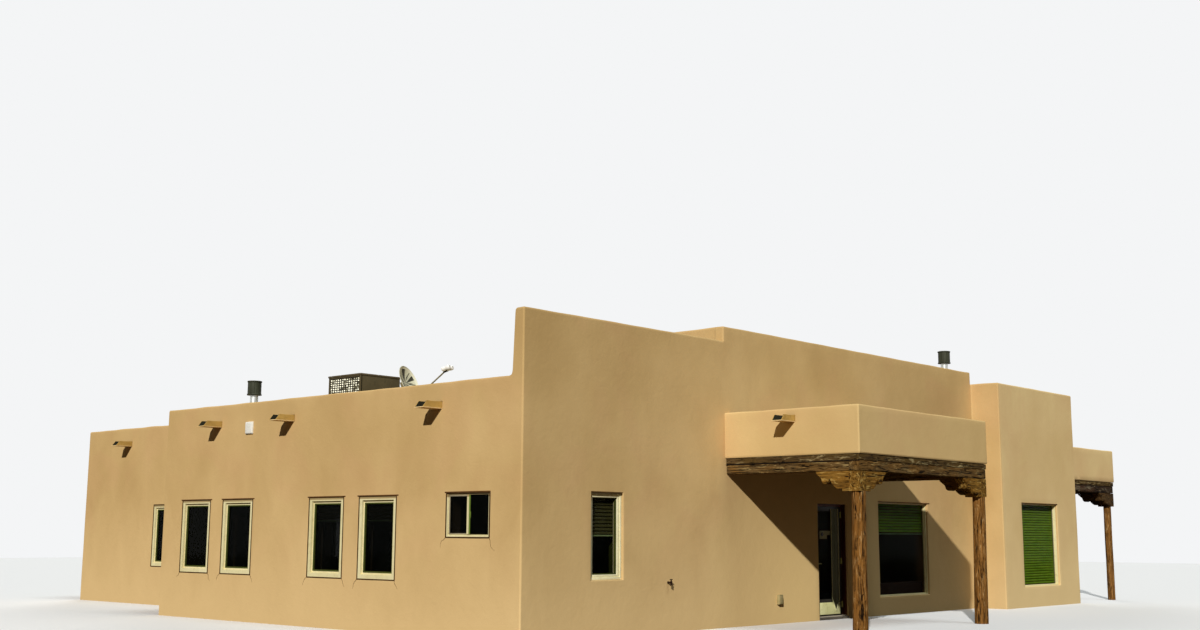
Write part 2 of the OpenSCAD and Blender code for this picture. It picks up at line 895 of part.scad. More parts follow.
// Panes of the back, right and wing walls
module rear_window_glass() {
  color(glass_dark) {
    on_back() for (x = back_windows) tall_pane(x);
    on_right() tall_pane(right_window_y);
    on_wing_back() for (x = [wing_back_x - win_pitch / 2, wing_back_x + win_pitch / 2])
      tall_pane(x);
    on_wing_right() for (y = [wing_side_x - win_pitch, wing_side_x + win_pitch])
      tall_pane(y);
  }
}

// A blind that hangs behind a pane from the head of the opening
module blind(x, top, w, drop, recess) {
  translate([x - w / 2, recess + frame_depth, top - drop]) cube([w, blind_t, drop]);
}

// Blinds and the curtain behind the windows
module window_blinds() {
  short_drop = win_h * 0.24;
  color(blind_green) {
    on_left() {
      blind(left_windows[0], win_sill + win_h, win_w, short_drop, side_recess);
      blind(left_windows[1], win_sill + win_h, win_w, short_drop, side_recess);
      blind(left_windows[3], win_sill + win_h, win_w, win_h, side_recess);
    }
    on_front() {
      blind(narrow_x, narrow_sill + narrow_h, narrow_w, narrow_h * 0.5, narrow_recess);
      blind(porch_win_x, porch_sill + porch_win_h, porch_win_w, porch_win_h * 0.34, wide_recess);
    }
    on_block()
      blind(block_win_x, block_sill + block_win_h, block_win_w, block_win_h, wide_recess);
  }
}

frame_depth_door = 130;
stop_t = 14;
stop_gap = 6;

// Door jambs, head, stops and threshold
module door_frame() {
  inner_w = door_w - 2 * jamb_w;
  head_z = door_top - jamb_w;
  stop_y = leaf_t + stop_gap;
  color(door_brown) on_front() translate([door_left, door_recess, 0]) {
    difference() {
      translate([0, 0, floor_h]) cube([door_w, frame_depth_door, door_top - floor_h]);
      translate([jamb_w, -eps, floor_h - eps])
        cube([inner_w, eps + stop_y, head_z - floor_h + eps]);
      translate([jamb_w + stop_t, -eps, floor_h - eps])
        cube([inner_w - 2 * stop_t, frame_depth_door + 2 * eps, head_z - floor_h + eps - stop_t]);
    }
    translate([jamb_w + stop_t, 0, floor_h])
      cube([inner_w - 2 * stop_t, frame_depth_door, sill_h]);
    for (x = [jamb_w, door_w - jamb_w - stop_t])
      translate([x, 0, floor_h]) cube([stop_t, stop_y, sill_h]);
  }
}

leaf_w = door_w - 2 * jamb_w - 2 * leaf_gap;
leaf_x = door_left + jamb_w + leaf_gap;
leaf_z = floor_h + sill_h + leaf_gap;
leaf_h = door_top - jamb_w - leaf_gap - leaf_z;
hinge_x = leaf_x + leaf_w + leaf_gap / 2;
hinge_y = door_recess - barrel_d / 2;
plate_t = 3;
plate_w = 36;
hinge_levels = [leaf_h * 0.07, leaf_h * 0.47, leaf_h * 0.9];

module on_leaf() {
  on_front() translate([leaf_x, door_recess, leaf_z]) children();
}

// Face of the long strip on the hinge side, pointed at its foot
module strip_face() {
  point = strip_w * 0.42;
  strip_x = leaf_w - stile_w * 0.7 - strip_w;
  foot = kick_h * 0.2;
  polygon([[strip_x, foot + point], [strip_x + strip_w / 2, foot],
           [strip_x + strip_w, foot + point], [strip_x + strip_w, leaf_h - stile_w],
           [strip_x, leaf_h - stile_w]]);
}

// Door leaf: stiles, rails, a sunk kick panel and the long strip on the hinge side
module door_leaf() {
  color(door_brown) on_leaf() {
    difference() {
      cube([leaf_w, leaf_t, leaf_h]);
      translate([stile_w, -eps, kick_h])
        cube([leaf_w - 2 * stile_w, leaf_t + 2 * eps, leaf_h - kick_h - stile_w]);
      translate([stile_w / 2, -eps, sill_h])
        cube([leaf_w - stile_w, eps + plate_t, kick_h - 2 * sill_h]);
    }
    translate([0, leaf_t / 2, 0]) rotate([90, 0, 0]) linear_extrude(leaf_t / 2) strip_face();
  }
}

// Glass of the door
module door_glass() {
  color(glass_dark) on_leaf() translate([stile_w, leaf_t / 2, kick_h])
    cube([leaf_w - 2 * stile_w, glass_t, leaf_h - kick_h - stile_w]);
}

// Door handle and the leaf's halves of the hinges
module door_hardware() {
  handle_z = 950;
  rose_d = 60;
  neck_d = 20;
  neck = 45;
  lever = 110;
  color(metal_grey) {
    on_leaf() translate([stile_w / 2, 0, handle_z]) {
      rotate([90, 0, 0]) cylinder(d = rose_d, h = 8);
      rotate([90, 0, 0]) cylinder(d = neck_d, h = neck);
      translate([0, -neck + neck_d / 2, 0]) rotate([0, 90, 0]) cylinder(d = neck_d, h = lever);
    }
    on_front() for (z = hinge_levels) translate([hinge_x, hinge_y, leaf_z + z]) {
      cylinder(d = barrel_d, h = hinge_h);
      translate([-plate_w, barrel_d / 2 - plate_t, 0]) cube([plate_w, plate_t, hinge_h]);
    }
  }
}

// Height of a spout's underside where a low roof drains
spout_z = low_deck - spout_t;

// A slot through a parapet for a spout: near edge at x, underside at z
module spout_slot_at(x, z) {
  translate([x, -eps, z]) cube([spout_w, wall_t + 2 * eps, spout_h]);
}
module spout_slot(x) {
  spout_slot_at(x, spout_z);
}

// An open spout with a slanted end, through a parapet of thickness parapet_t
module spout(x, z) {
  length = spout_out + parapet_t;
  translate([x, parapet_t, z]) rotate([90, 0, 0]) difference() {
    cube([spout_w, spout_h, length]);
    translate([spout_t, spout_t, -eps])
      cube([spout_w - 2 * spout_t, spout_h, length + 2 * eps]);
    translate([-eps, 0, length]) rotate([-atan2(spout_cut, spout_h), 0, 0])
      cube([spout_w + 2 * eps, 2 * spout_h, length]);
  }
}

// Roof spouts of the left wall, the wing and the front porch
module roof_spouts() {
  color(board_beige) {
    on_left() for (y = spout_left_y) spout(y, spout_z);
    on_wing_left() spout(spout_wing_y, spout_z);
    on_porch() translate([0, porch_out - spout_porch_y, 0]) mirror([1, -1, 0])
      spout(0, porch_deck - spout_t);
  }
}

// Packaged rooftop unit on its curb, with an overhanging lid
module rooftop_unit() {
  inset = 60;
  color(unit_brown) in_house() translate([unit_x, body_depth - unit_back, low_deck]) {
    translate([inset, inset, 0]) cube([unit_w - 2 * inset, unit_d - 2 * inset, curb_h]);
    translate([0, 0, curb_h]) cube([unit_w, unit_d, unit_h - lid_t]);
    translate([-lid_over, -lid_over, curb_h + unit_h - lid_t])
      cube([unit_w + 2 * lid_over, unit_d + 2 * lid_over, lid_t]);
  }
}

// Height of the bowl at a distance r from its axis
function bowl_z(r) = dish_bowl * (pow(r / dish_r, 2) - 1);

// Shallow round bowl of the dish, opening along +Z, with its rim at z = 0
module dish_shell() {
  steps = [0.22, 0.4, 0.6, 0.8, 1];
  flat_z = bowl_z(steps[0] * dish_r);
  inside = concat([[0, flat_z]], [for (k = steps) [k * dish_r, bowl_z(k * dish_r)]]);
  outside = [for (k = [len(inside) - 1:-1:0]) [inside[k][0], inside[k][1] - dish_t]];
  rotate_extrude($fn = 64) polygon(concat(inside, outside));
}

// Satellite dish on a mast, with its feed on an arm that starts below the rim
module satellite_dish() {
  mast_d = 42;
  bar = 28;
  strut = 36;
  foot_w = 260;
  foot_t = 8;
  hub_w = 90;
  hub_len = 80;
  feed_d = 64;
  feed_len = 120;
  feed_low = 130;
  back = dish_bowl + hub_len / 2;
  arm_x = dish_r + 2.5 * bar;
  reach = cos(dish_tilt) * back;
  color(metal_grey) in_house() translate([dish_at[0], dish_at[1], low_deck]) {
    translate([-reach * cos(dish_turn), -reach * sin(dish_turn), 0]) {
      translate([-foot_w / 2, -foot_w / 2, 0]) cube([foot_w, foot_w, foot_t]);
      cylinder(d = mast_d, h = dish_rise - sin(dish_tilt) * back);
    }
    translate([0, 0, dish_rise]) rotate([0, 90 - dish_tilt, dish_turn]) {
      dish_shell();
      translate([-hub_w / 2, -hub_w / 2, -dish_bowl - hub_len])
        cube([hub_w, hub_w, hub_len]);
      translate([0, -strut / 2, -back - strut / 2]) cube([arm_x + strut / 2, strut, strut]);
      translate([arm_x, 0, -back]) rotate([0, atan2(feed_low - arm_x, feed_arm + back), 0])
        translate([-bar / 2, -bar / 2, 0])
          cube([bar, bar, norm([feed_low - arm_x, feed_arm + back])]);
      translate([feed_low - bar, 0, feed_arm - feed_len / 2])
        rotate([0, atan2(feed_low, feed_arm), 0]) cylinder(d = feed_d, h = feed_len);
    }
  }
}

// A vent pipe with a round cap, ringed at its foot and at its lid
module vent(h) {
  ring_h = 26;
  ring_step = 12;
  cylinder(d = vent_pipe_d, h = h - vent_cap_h);
  translate([0, 0, h - vent_cap_h]) {
    cylinder(d = vent_cap_d - 2 * ring_step, h = vent_cap_h);
    for (z = [0, vent_cap_h - ring_h]) translate([0, 0, z]) cylinder(d = vent_cap_d, h = ring_h);
  }
}

// Two vent stacks on the roofs
module vent_stacks() {
  color(metal_grey) in_house() {
    translate([vent_left_x, body_depth - vent_left_back, low_deck]) vent(vent_h);
    translate([great_end + vent_right_in, vent_right_y, block_deck]) vent(vent_h + vent_extra);
  }
}

// Box on the left wall, garden tap and outdoor socket
module wall_fixtures() {
  tap_d = 26;
  tap_out = 90;
  wheel_d = 60;
  wheel_h = 12;
  socket_d = 60;
  color(box_white) on_left() translate([box_y - box_w / 2, -box_d, box_z])
    cube([box_w, box_d, box_w]);
  color(unit_brown) on_front() translate([tap_x, 0, tap_z]) {
    rotate([90, 0, 0]) cylinder(d = tap_d, h = tap_out);
    translate([0, -tap_out + tap_d / 2, 0]) cylinder(d = tap_d, h = tap_d * 2);
    translate([0, -tap_out + tap_d / 2, tap_d * 2]) cylinder(d = wheel_d, h = wheel_h);
    translate([0, -tap_out + tap_d / 2, -tap_d * 2]) cylinder(d = tap_d, h = tap_d * 2);
  }
  color(metal_grey) on_front() translate([socket_x - socket_w / 2, -socket_d, socket_z])
    cube([socket_w, socket_d, socket_h]);
}

front_wall_left();
front_wall_middle();
front_wall_over_door();
front_wall_right();
block_front_wall();
left_wall();
back_wall();
right_wall();
wing_left_wall();
wing_back_wall();
wing_right_wall();
great_left_wall();
great_back_wall();
great_right_wall();
block_back_wall();
low_roof_left();
low_roof_back();
wing_roof();
great_roof();
block_roof();
floor_slab();
porch_parapet();
porch_roof();
porch_planks();
porch_beams();
porch_corbels();
porch_posts();
side_porch_parapet();
side_porch_roof();
side_porch_planks();
side_porch_beams();
side_porch_corbels();
side_porch_posts();
door_frame();
door_leaf();
door_glass();
door_hardware();
left_window_frames();
front_window_frames();
rear_window_frames();
left_window_glass();
front_window_glass();
rear_window_glass();
window_blinds();
roof_spouts();
rooftop_unit();
satellite_dish();
vent_stacks();
wall_fixtures();
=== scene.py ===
"""Adobe house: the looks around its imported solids.

Metres. +Z is up, the front faces -Y and the long left wall faces -X. Places are worked out in
house metres, whose origin is the near left corner on the ground: x runs along the front wall,
y goes back along the left wall. A part is (points, faces). A timber part also has its grain, each
point's place along and across the timber, and its tint, which shifts how silvered it is.
"""

import math

import bmesh
import bpy
import mathutils
import numpy as np
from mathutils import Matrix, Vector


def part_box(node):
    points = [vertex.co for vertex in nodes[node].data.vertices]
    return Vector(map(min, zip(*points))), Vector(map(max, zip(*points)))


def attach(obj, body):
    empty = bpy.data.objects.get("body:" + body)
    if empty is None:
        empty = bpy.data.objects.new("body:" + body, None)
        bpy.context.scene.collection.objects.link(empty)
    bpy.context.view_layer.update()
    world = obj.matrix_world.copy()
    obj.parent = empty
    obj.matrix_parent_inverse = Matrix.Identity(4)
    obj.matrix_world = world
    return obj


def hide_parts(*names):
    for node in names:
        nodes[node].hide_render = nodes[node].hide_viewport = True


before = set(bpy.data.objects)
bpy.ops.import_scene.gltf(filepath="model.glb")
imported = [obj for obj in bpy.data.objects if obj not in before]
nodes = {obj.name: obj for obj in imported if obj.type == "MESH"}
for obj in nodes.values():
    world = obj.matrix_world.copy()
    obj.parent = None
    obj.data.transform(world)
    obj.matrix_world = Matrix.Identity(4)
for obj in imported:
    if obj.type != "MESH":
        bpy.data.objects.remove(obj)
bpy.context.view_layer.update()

corner = np.array([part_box("front_wall_left")[0].x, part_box("front_wall_left")[0].y, 0.0])

# Plan and levels, in house metres
STEP_X, GREAT_X, HOUSE_W = 4.855, 13.925, 17.750
BLOCK_Y, RANGE_Y, BACK_Y = -0.640, 4.900, 9.640
WING_X0, WING_X1, WING_Y = 1.880, 7.900, 16.230
LOW_TOP, STEP_TOP, GREAT_TOP, BLOCK_TOP = 3.840, 4.845, 5.105, 4.850
LOW_DECK, GREAT_DECK, BLOCK_DECK = 3.450, 4.715, 4.460
DECK_T, WALL_T, PARAPET_T = 0.200, 0.300, 0.180
EDGE_R, FILLET_R, LIP_R = 0.030, 0.030, 0.012
PORCH_X0, PORCH_X1, PORCH_Y = 4.870, 9.250, -2.640
PORCH_TOP, FASCIA_Z, PORCH_LEDGE = 3.603, 2.823, 3.273
SIDE_X1, SIDE_Y0, SIDE_Y1, SIDE_RISE = 20.250, -0.580, 3.620, 0.045
BEAM_Z, BEAM_H, BEAM_W, BEAM_IN, PLANK_H, PLANK_IN = 2.550, 0.183, 0.200, 0.030, 0.090, 0.020
TINY = 0.0005  # radius that closes a turned shape on its axis
HOUSE, DOOR = "house", "door"
EVEN = (0.35, 0.0), (0.65, 1.0)  # ramp stops that share two shades evenly


# ---------------------------------------------------------------- materials
def linear(hex_colour):
    """sRGB hex to linear RGBA."""
    rgb = np.array([int(hex_colour[i:i + 2], 16) for i in (1, 3, 5)]) / 255
    rgb = np.where(rgb <= 0.04045, rgb / 12.92, ((rgb + 0.055) / 1.055) ** 2.4)
    return (*[float(v) for v in rgb], 1.0)


def feed(tree, socket, value):
    """Gives a socket another node's output, a hex colour or a plain value."""
    if isinstance(value, bpy.types.NodeSocket):
        tree.links.new(value, socket)
    else:
        socket.default_value = linear(value) if isinstance(value, str) else value


def add(tree, kind, inputs=(), **attributes):
    """Adds a node with these attributes and inputs {socket: what it is fed}."""
    made = tree.nodes.new(kind)
    for name, value in attributes.items():
        setattr(made, name, value)
    for name, value in dict(inputs).items():
        feed(tree, made.inputs[name], value)
    return made


class Coat:
    """A procedural material: its tree, its Principled shader and the piece's coordinates."""

    def __init__(self, name, roughness=0.8, metallic=0.0, ior=1.5, specular=0.15):
        self.made = bpy.data.materials.new(name)
        self.made.use_nodes = True
        self.tree = self.made.node_tree
        self.shader = self.tree.nodes["Principled BSDF"]
        self.set({"Roughness": roughness, "Metallic": metallic, "IOR": ior,
                  "Specular IOR Level": specular})
        self.where = self.add("ShaderNodeTexCoord").outputs["Object"]

    def set(self, inputs):
        """Feeds the shader's sockets."""
        for name, value in inputs.items():
            feed(self.tree, self.shader.inputs[name], value)

    def add(self, kind, inputs=(), **attributes):
        """Adds a node to this tree."""
        return add(self.tree, kind, inputs, **attributes)

    def field(self, name):
        """A field that the piece's points carry."""
        return self.add("ShaderNodeAttribute", attribute_name=name)

    def height(self):
        """A point's height."""
        return self.add("ShaderNodeSeparateXYZ", {0: self.where}).outputs[2]

    def noise(self, scale, detail=4.0, rough=0.55, stretch=None, distortion=0.0, where=None):
        """A noise field, its coordinates stretched if asked."""
        where = where or self.where
        if stretch is not None:
            where = self.add("ShaderNodeMapping", {"Vector": where, "Scale": stretch}).outputs[0]
        return self.add("ShaderNodeTexNoise", {"Vector": where, "Scale": scale, "Detail": detail,
                                               "Roughness": rough,
                                               "Distortion": distortion}).outputs["Fac"]

    def sum(self, operation, *values):
        """A maths node on outputs and numbers."""
        return self.add("ShaderNodeMath", enumerate(values), operation=operation).outputs[0]

    def span(self, value, low, high, start, end):
        """A value from low to high mapped to start to end."""
        return self.add("ShaderNodeMapRange", {"Value": value, "From Min": low, "From Max": high,
                                               "To Min": start, "To Max": end}).outputs[0]

    def ramp(self, factor, *stops):
        """A colour ramp from (position, hex colour or grey) stops."""
        made = self.add("ShaderNodeValToRGB", {"Fac": factor})
        elements = made.color_ramp.elements
        while len(elements) < len(stops):
            elements.new(0.5)
        for element, (position, colour) in zip(elements, stops):
            element.position = position
            element.color = linear(colour) if isinstance(colour, str) else (*[colour] * 3, 1.0)
        return made.outputs["Color"]

    def mix(self, factor, first, second, blend="MIX"):
        """Mixes two colours; each is an output or a hex colour."""
        made = self.add("ShaderNodeMix", data_type="RGBA", blend_type=blend)
        for name, value in (("Factor", factor), ("A", first), ("B", second)):
            feed(self.tree, [s for s in made.inputs if s.name == name and s.enabled][0], value)
        return [s for s in made.outputs if s.enabled][0]

    def lay(self, colour, shade, factor, *stops):
        """Lays a shade over a colour where the ramped factor says so."""
        return self.mix(self.ramp(factor, *stops), colour, shade)

    def finish(self, colour, height=None, distance=0.0, strength=1.0):
        """Gives the shader its colour and bumps from a height field, distance in metres."""
        self.set({"Base Color": colour})
        if height is not None:
            bump = self.add("ShaderNodeBump", {"Height": height, "Strength": strength,
                                               "Distance": distance})
            self.set({"Normal": bump.outputs["Normal"]})
        return self.made


def paint(name, colours, dirt, roughness=0.5, size=3.0, metallic=0.0, stretch=None, bumps=0.0005,
          specular=0.12):
    """A painted or moulded surface: two near shades in clouds, with grime in finer clouds."""
    coat = Coat(name, roughness, metallic, specular=specular)
    colour = coat.lay(*colours, coat.noise(size, 4.0, 0.6, stretch=stretch), *EVEN)
    grime = coat.noise(size * 5, 5.0, 0.7, stretch=stretch, distortion=0.5)
    colour = coat.lay(colour, dirt, grime, (0.52, 0.0), (0.80, 0.6))
    return coat.finish(colour, coat.noise(size * 40, 3.0, 0.6), bumps, 0.6)


# ---------------------------------------------------------------- meshes
def in_row(points):
    """House metres to the shared frame."""
    return np.asarray(points, float) + corner


def join_parts(parts):
    """Several parts as one."""
    points, faces, start = [], [], 0
    for part_points, part_faces, *_ in parts:
        points.append(part_points)
        faces += [tuple(int(i) + start for i in face) for face in part_faces]
        start += len(part_points)
    fields = [np.concatenate([part[k] for part in parts]) for k in range(2, len(parts[0]))]
    return np.vstack(points), faces, *fields


def make_piece(name, parts, material, slot, *replaced, body=HOUSE, smooth=30.0, weld=0.0):
    """One mesh from parts, its faces turned outward. Edges sharper than smooth degrees stay
    sharp, and replaced names the solids that it stands for."""
    points, faces, *fields = join_parts(parts)
    mesh = bpy.data.meshes.new(name)
    mesh.from_pydata(in_row(points).tolist(), [], faces)
    for (field, kind, key), values in zip((("grain", "FLOAT_VECTOR", "vector"),
                                           ("tint", "FLOAT", "value")), fields):
        mesh.attributes.new(field, kind, "POINT").data.foreach_set(
            key, np.asarray(values, np.float32).ravel())
    shell = bmesh.new()
    shell.from_mesh(mesh)
    if weld:
        bmesh.ops.remove_doubles(shell, verts=shell.verts, dist=weld)
        bmesh.ops.dissolve_degenerate(shell, edges=shell.edges, dist=weld)
    bmesh.ops.recalc_face_normals(shell, faces=shell.faces)
    shell.to_mesh(mesh)
    shell.free()
    mesh.shade_smooth()
    mesh.set_sharp_from_angle(angle=math.radians(smooth))
    mesh.materials.append(material)
    piece = bpy.data.objects.new(name, mesh)
    bpy.context.scene.collection.objects.link(piece)
    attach(piece, body)
    if replaced:
        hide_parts(*replaced)
    return piece


def bevel(item, width, degrees):
    """Rounds an object's edges that are sharper than degrees."""
    edge = item.modifiers.new("worn_edges", "BEVEL")
    edge.width, edge.segments, edge.limit_method = width, 2, "ANGLE"
    edge.angle_limit, edge.harden_normals = math.radians(degrees), False


def dress(name, material, rounded=0.0):
    """Gives a kept solid its material and, where asked, rounded edges."""
    for slot in nodes[name].material_slots:
        slot.material = material
    if rounded:
        bevel(nodes[name], rounded, 40)


def grid_faces(rows, columns, wrap=False, flip=False):
    """Quads of a rows x columns grid of points, its last column joined to its first if asked."""
    i, j = np.arange(rows - 1), np.arange(columns if wrap else columns - 1)
    i, j = (v.ravel() for v in np.meshgrid(i, j, indexing="ij"))
    beside = (j + 1) % columns
    quads = np.stack([i * columns + j, (i + 1) * columns + j, (i + 1) * columns + beside,
                      i * columns + beside], 1)
    return quads[:, ::-1].tolist() if flip else quads.tolist()


def capped(rows, columns, flip=False):
    """Faces of a row of rings, closed at both ends."""
    last = (rows - 1) * columns
    faces = grid_faces(rows, columns, wrap=True)
    faces += [list(range(columns)), [last + k for k in range(columns)][::-1]]
    return [face[::-1] for face in faces] if flip else faces


def two_skins(front, rear):
    """A sheet between two grids of points, closed round its rim."""
    count, size = front.shape[:2]
    quads = np.array(grid_faces(count, size))
    faces = quads.tolist() + (quads[:, ::-1] + count * size).tolist()
    rim = ([(i, 0) for i in range(count)] + [(count - 1, j) for j in range(1, size)]
           + [(i, size - 1) for i in range(count - 2, -1, -1)]
           + [(0, j) for j in range(size - 2, 0, -1)])
    ring = [i * size + j for i, j in rim]
    faces += [[ring[k], ring[k - 1], ring[k - 1] + count * size, ring[k] + count * size]
              for k in range(len(ring))]
    return np.vstack([front.reshape(-1, 3), rear.reshape(-1, 3)]), faces


def block(low, high, worn=0.004, cut=0.25):
    """A box with its faces cut into cells, every point drawn to within worn of the inner core
    box, which rounds its edges and corners."""
    low, high = np.minimum(low, high), np.maximum(low, high)
    centre, half = (low + high) / 2, (high - low) / 2
    worn = min(worn, *(half * 0.9))
    marks = []
    for h in half:
        inner = np.linspace(-(h - worn), h - worn, max(2, int(2 * h / cut) + 1))
        edge = [h, h - 0.3 * worn]
        marks.append(np.array(sorted([*(-np.array(edge)), *inner, *edge])))
    points, faces, start = [], [], 0
    for axis in range(3):
        u, v = [a for a in range(3) if a != axis]
        grid_u, grid_v = np.meshgrid(marks[u], marks[v], indexing="ij")
        for sign in (-1, 1):
            face = np.zeros((*grid_u.shape, 3))
            face[..., u], face[..., v], face[..., axis] = grid_u, grid_v, sign * half[axis]
            points.append(face.reshape(-1, 3))
            turned = (sign > 0) == (axis == 1)
            faces += (np.array(grid_faces(*grid_u.shape, flip=turned)) + start).tolist()
            start += grid_u.size
    points = np.vstack(points)
    core = np.clip(points, -(half - worn), half - worn)
    out = points - core
    points = core + worn * out / np.linalg.norm(out, axis=1)[:, None]
    _, first, back = np.unique(points.round(6), axis=0, return_index=True, return_inverse=True)
    back = back.ravel()
    return points[first] + centre, [[int(back[i]) for i in face] for face in faces]


def blocks(worn, *pairs):
    """Several blocks from their (low, high) corners."""
    return [block(low, high, worn) for low, high in pairs]


def lathe(profile, segments=48, wave=None):
    """A profile of (radius, height) turned about the upright axis. An end that is off the axis is
    closed level, and wave(angle) multiplies the radius."""
    first, last = ([(TINY, height)] if radius > 2 * TINY else []
                   for radius, height in (profile[0], profile[-1]))
    profile = np.array([*first, *profile, *last], float)
    turn = np.linspace(0, 2 * np.pi, segments, endpoint=False)
    radius = np.repeat(profile[:, :1], segments, 1)
    height = np.repeat(profile[:, 1:], segments, 1)
    angle = np.repeat(turn[None], len(profile), 0)
    if wave is not None:
        radius = radius * wave(angle)
    points = np.stack([radius * np.cos(angle), radius * np.sin(angle), height], -1)
    return points.reshape(-1, 3), capped(len(profile), segments, flip=True)


def tube(path, radius, sides=10):
    """A round bar along a path of points, closed at its ends."""
    path = np.asarray(path, float)
    way = np.gradient(path, axis=0)
    way /= np.linalg.norm(way, axis=1)[:, None]
    steep = np.abs(way[:, 2]).max() >= 0.9
    guide = np.eye(3)[np.argmin(np.ptp(path, axis=0)) if steep else 2]
    side = np.cross(way, guide)
    side /= np.linalg.norm(side, axis=1)[:, None]
    up = np.cross(side, way)
    turn = np.linspace(0, 2 * np.pi, sides, endpoint=False)
    points = (path[:, None] + radius * (np.cos(turn)[None, :, None] * side[:, None]
                                        + np.sin(turn)[None, :, None] * up[:, None]))
    return points.reshape(-1, 3), capped(len(path), sides)


def prism(outline, start, thickness):
    """An outline of (depth, up) points, carried along its wall from start."""
    points = np.array([(start + t, *point) for t in (0, thickness) for point in outline])
    return points, capped(2, len(outline))


def facing_left(x):
    """Moves points (along, depth, up) of a wall at x that faces -X to their places."""
    return lambda points: points[:, [1, 0, 2]] + [x, 0, 0]


def facing_front(y):
    """The same for a wall at y that faces -Y."""
    return lambda points: points + [0, y, 0]


on_left, on_front, on_block = facing_left(0.0), facing_front(0.0), facing_front(BLOCK_Y)


def put(parts, place):
    """Parts with their points moved by place, a function or a shift."""
    move = place if callable(place) else lambda points: points + place
    return [(move(part[0]), *part[1:]) for part in parts]


draw = np.random.default_rng(7)
WAVES = draw.normal(size=(7, 3))
WAVES /= np.linalg.norm(WAVES, axis=1)[:, None]
WAVES *= (2 * np.pi / draw.uniform(0.55, 1.9, 7))[:, None]
PHASES = draw.uniform(0, 2 * np.pi, 7)


def unevenness(points):
    """Smooth field from 0 to 1: the mean of seven sine waves, 0.55 to 1.9 m long, on skew lines."""
    return 0.5 + 0.5 * np.clip(np.sin(points @ WAVES.T + PHASES).mean(-1) * 1.6, -1, 1)


# ---------------------------------------------------------------- stucco walls
ARC_STEPS = 1 - np.cos(np.radians([0, 25, 50, 70, 90]))


def path_samples(corners, step, marks):
    """Plan samples of a wall path whose outside is on its left.

    Straight runs are cut at equal steps and at the marks that lie on them; a corner is a quarter
    arc of EDGE_R outside, or of FILLET_R where it is concave. A run's sample keeps (kind, start,
    way, inward, place, length, convex start, convex end), and an arc's (kind, corner, point,
    both inward normals added).
    """
    corners = np.asarray(corners, float)
    runs = []
    for first, second in zip(corners[:-1], corners[1:]):
        length = np.linalg.norm(second - first)
        way = (second - first) / length
        runs.append((first, way, np.array([way[1], -way[0]]), length))
    convex = [None] + [bool(b[1] @ a[2] > 0.5) for a, b in zip(runs, runs[1:])] + [None]
    samples = []
    for k, (start, way, inward, length) in enumerate(runs):
        trim = [0.0 if c is None else (EDGE_R if c else FILLET_R) for c in convex[k:k + 2]]
        low, high = trim[0], length - trim[1]
        cuts = set(np.linspace(low, high, max(2, int(round((high - low) / step)) + 1)).tolist())
        for mark in marks:
            offset = np.asarray(mark) - start
            along = float(offset @ way)
            if abs(offset @ inward) < 1e-6 and low < along < high:
                cuts = {c for c in cuts if abs(c - along) > 1e-5}
                cuts.add(along)
        for place in sorted(cuts):
            samples.append(("run", start, way, inward, place, length, *convex[k:k + 2]))
        if k + 1 < len(runs):
            vertex, both = corners[k + 1], inward + runs[k + 1][2]
            radius = EDGE_R if convex[k + 1] else -FILLET_R
            for turn in np.radians([15, 30, 45, 60, 75]):
                point = vertex + radius * (both - math.cos(turn) * inward
                                           - math.sin(turn) * runs[k + 1][2])
                samples.append(("arc", vertex, point, both))
    return samples


def inward_at(sample, depth):
    """Plan points of one sample at an array of depths inside the outer face.

    A run goes straight in and stops at the mitre of a convex corner; an arc goes to where its
    corner's mitre is EDGE_R deep and on along that mitre.
    """
    depth = np.asarray(depth, float)[:, None]
    if sample[0] == "run":
        _, start, way, inward, place, length, convex_start, convex_end = sample
        low = depth if convex_start else 0 * depth
        high = length - (depth if convex_end else 0 * depth)
        return start + way * np.clip(place, low, high) + inward * depth
    _, vertex, point, both = sample
    near = point + (vertex + both * EDGE_R - point) * np.minimum(depth / EDGE_R, 1)
    return np.where(depth <= EDGE_R, near, vertex + both * depth)


def arc_drop(distance, radius):
    """How far a quarter arc lies inside its square edge, at a distance from that edge."""
    left = np.clip(radius - distance, 0, radius)
    return radius - np.sqrt(radius ** 2 - left ** 2)


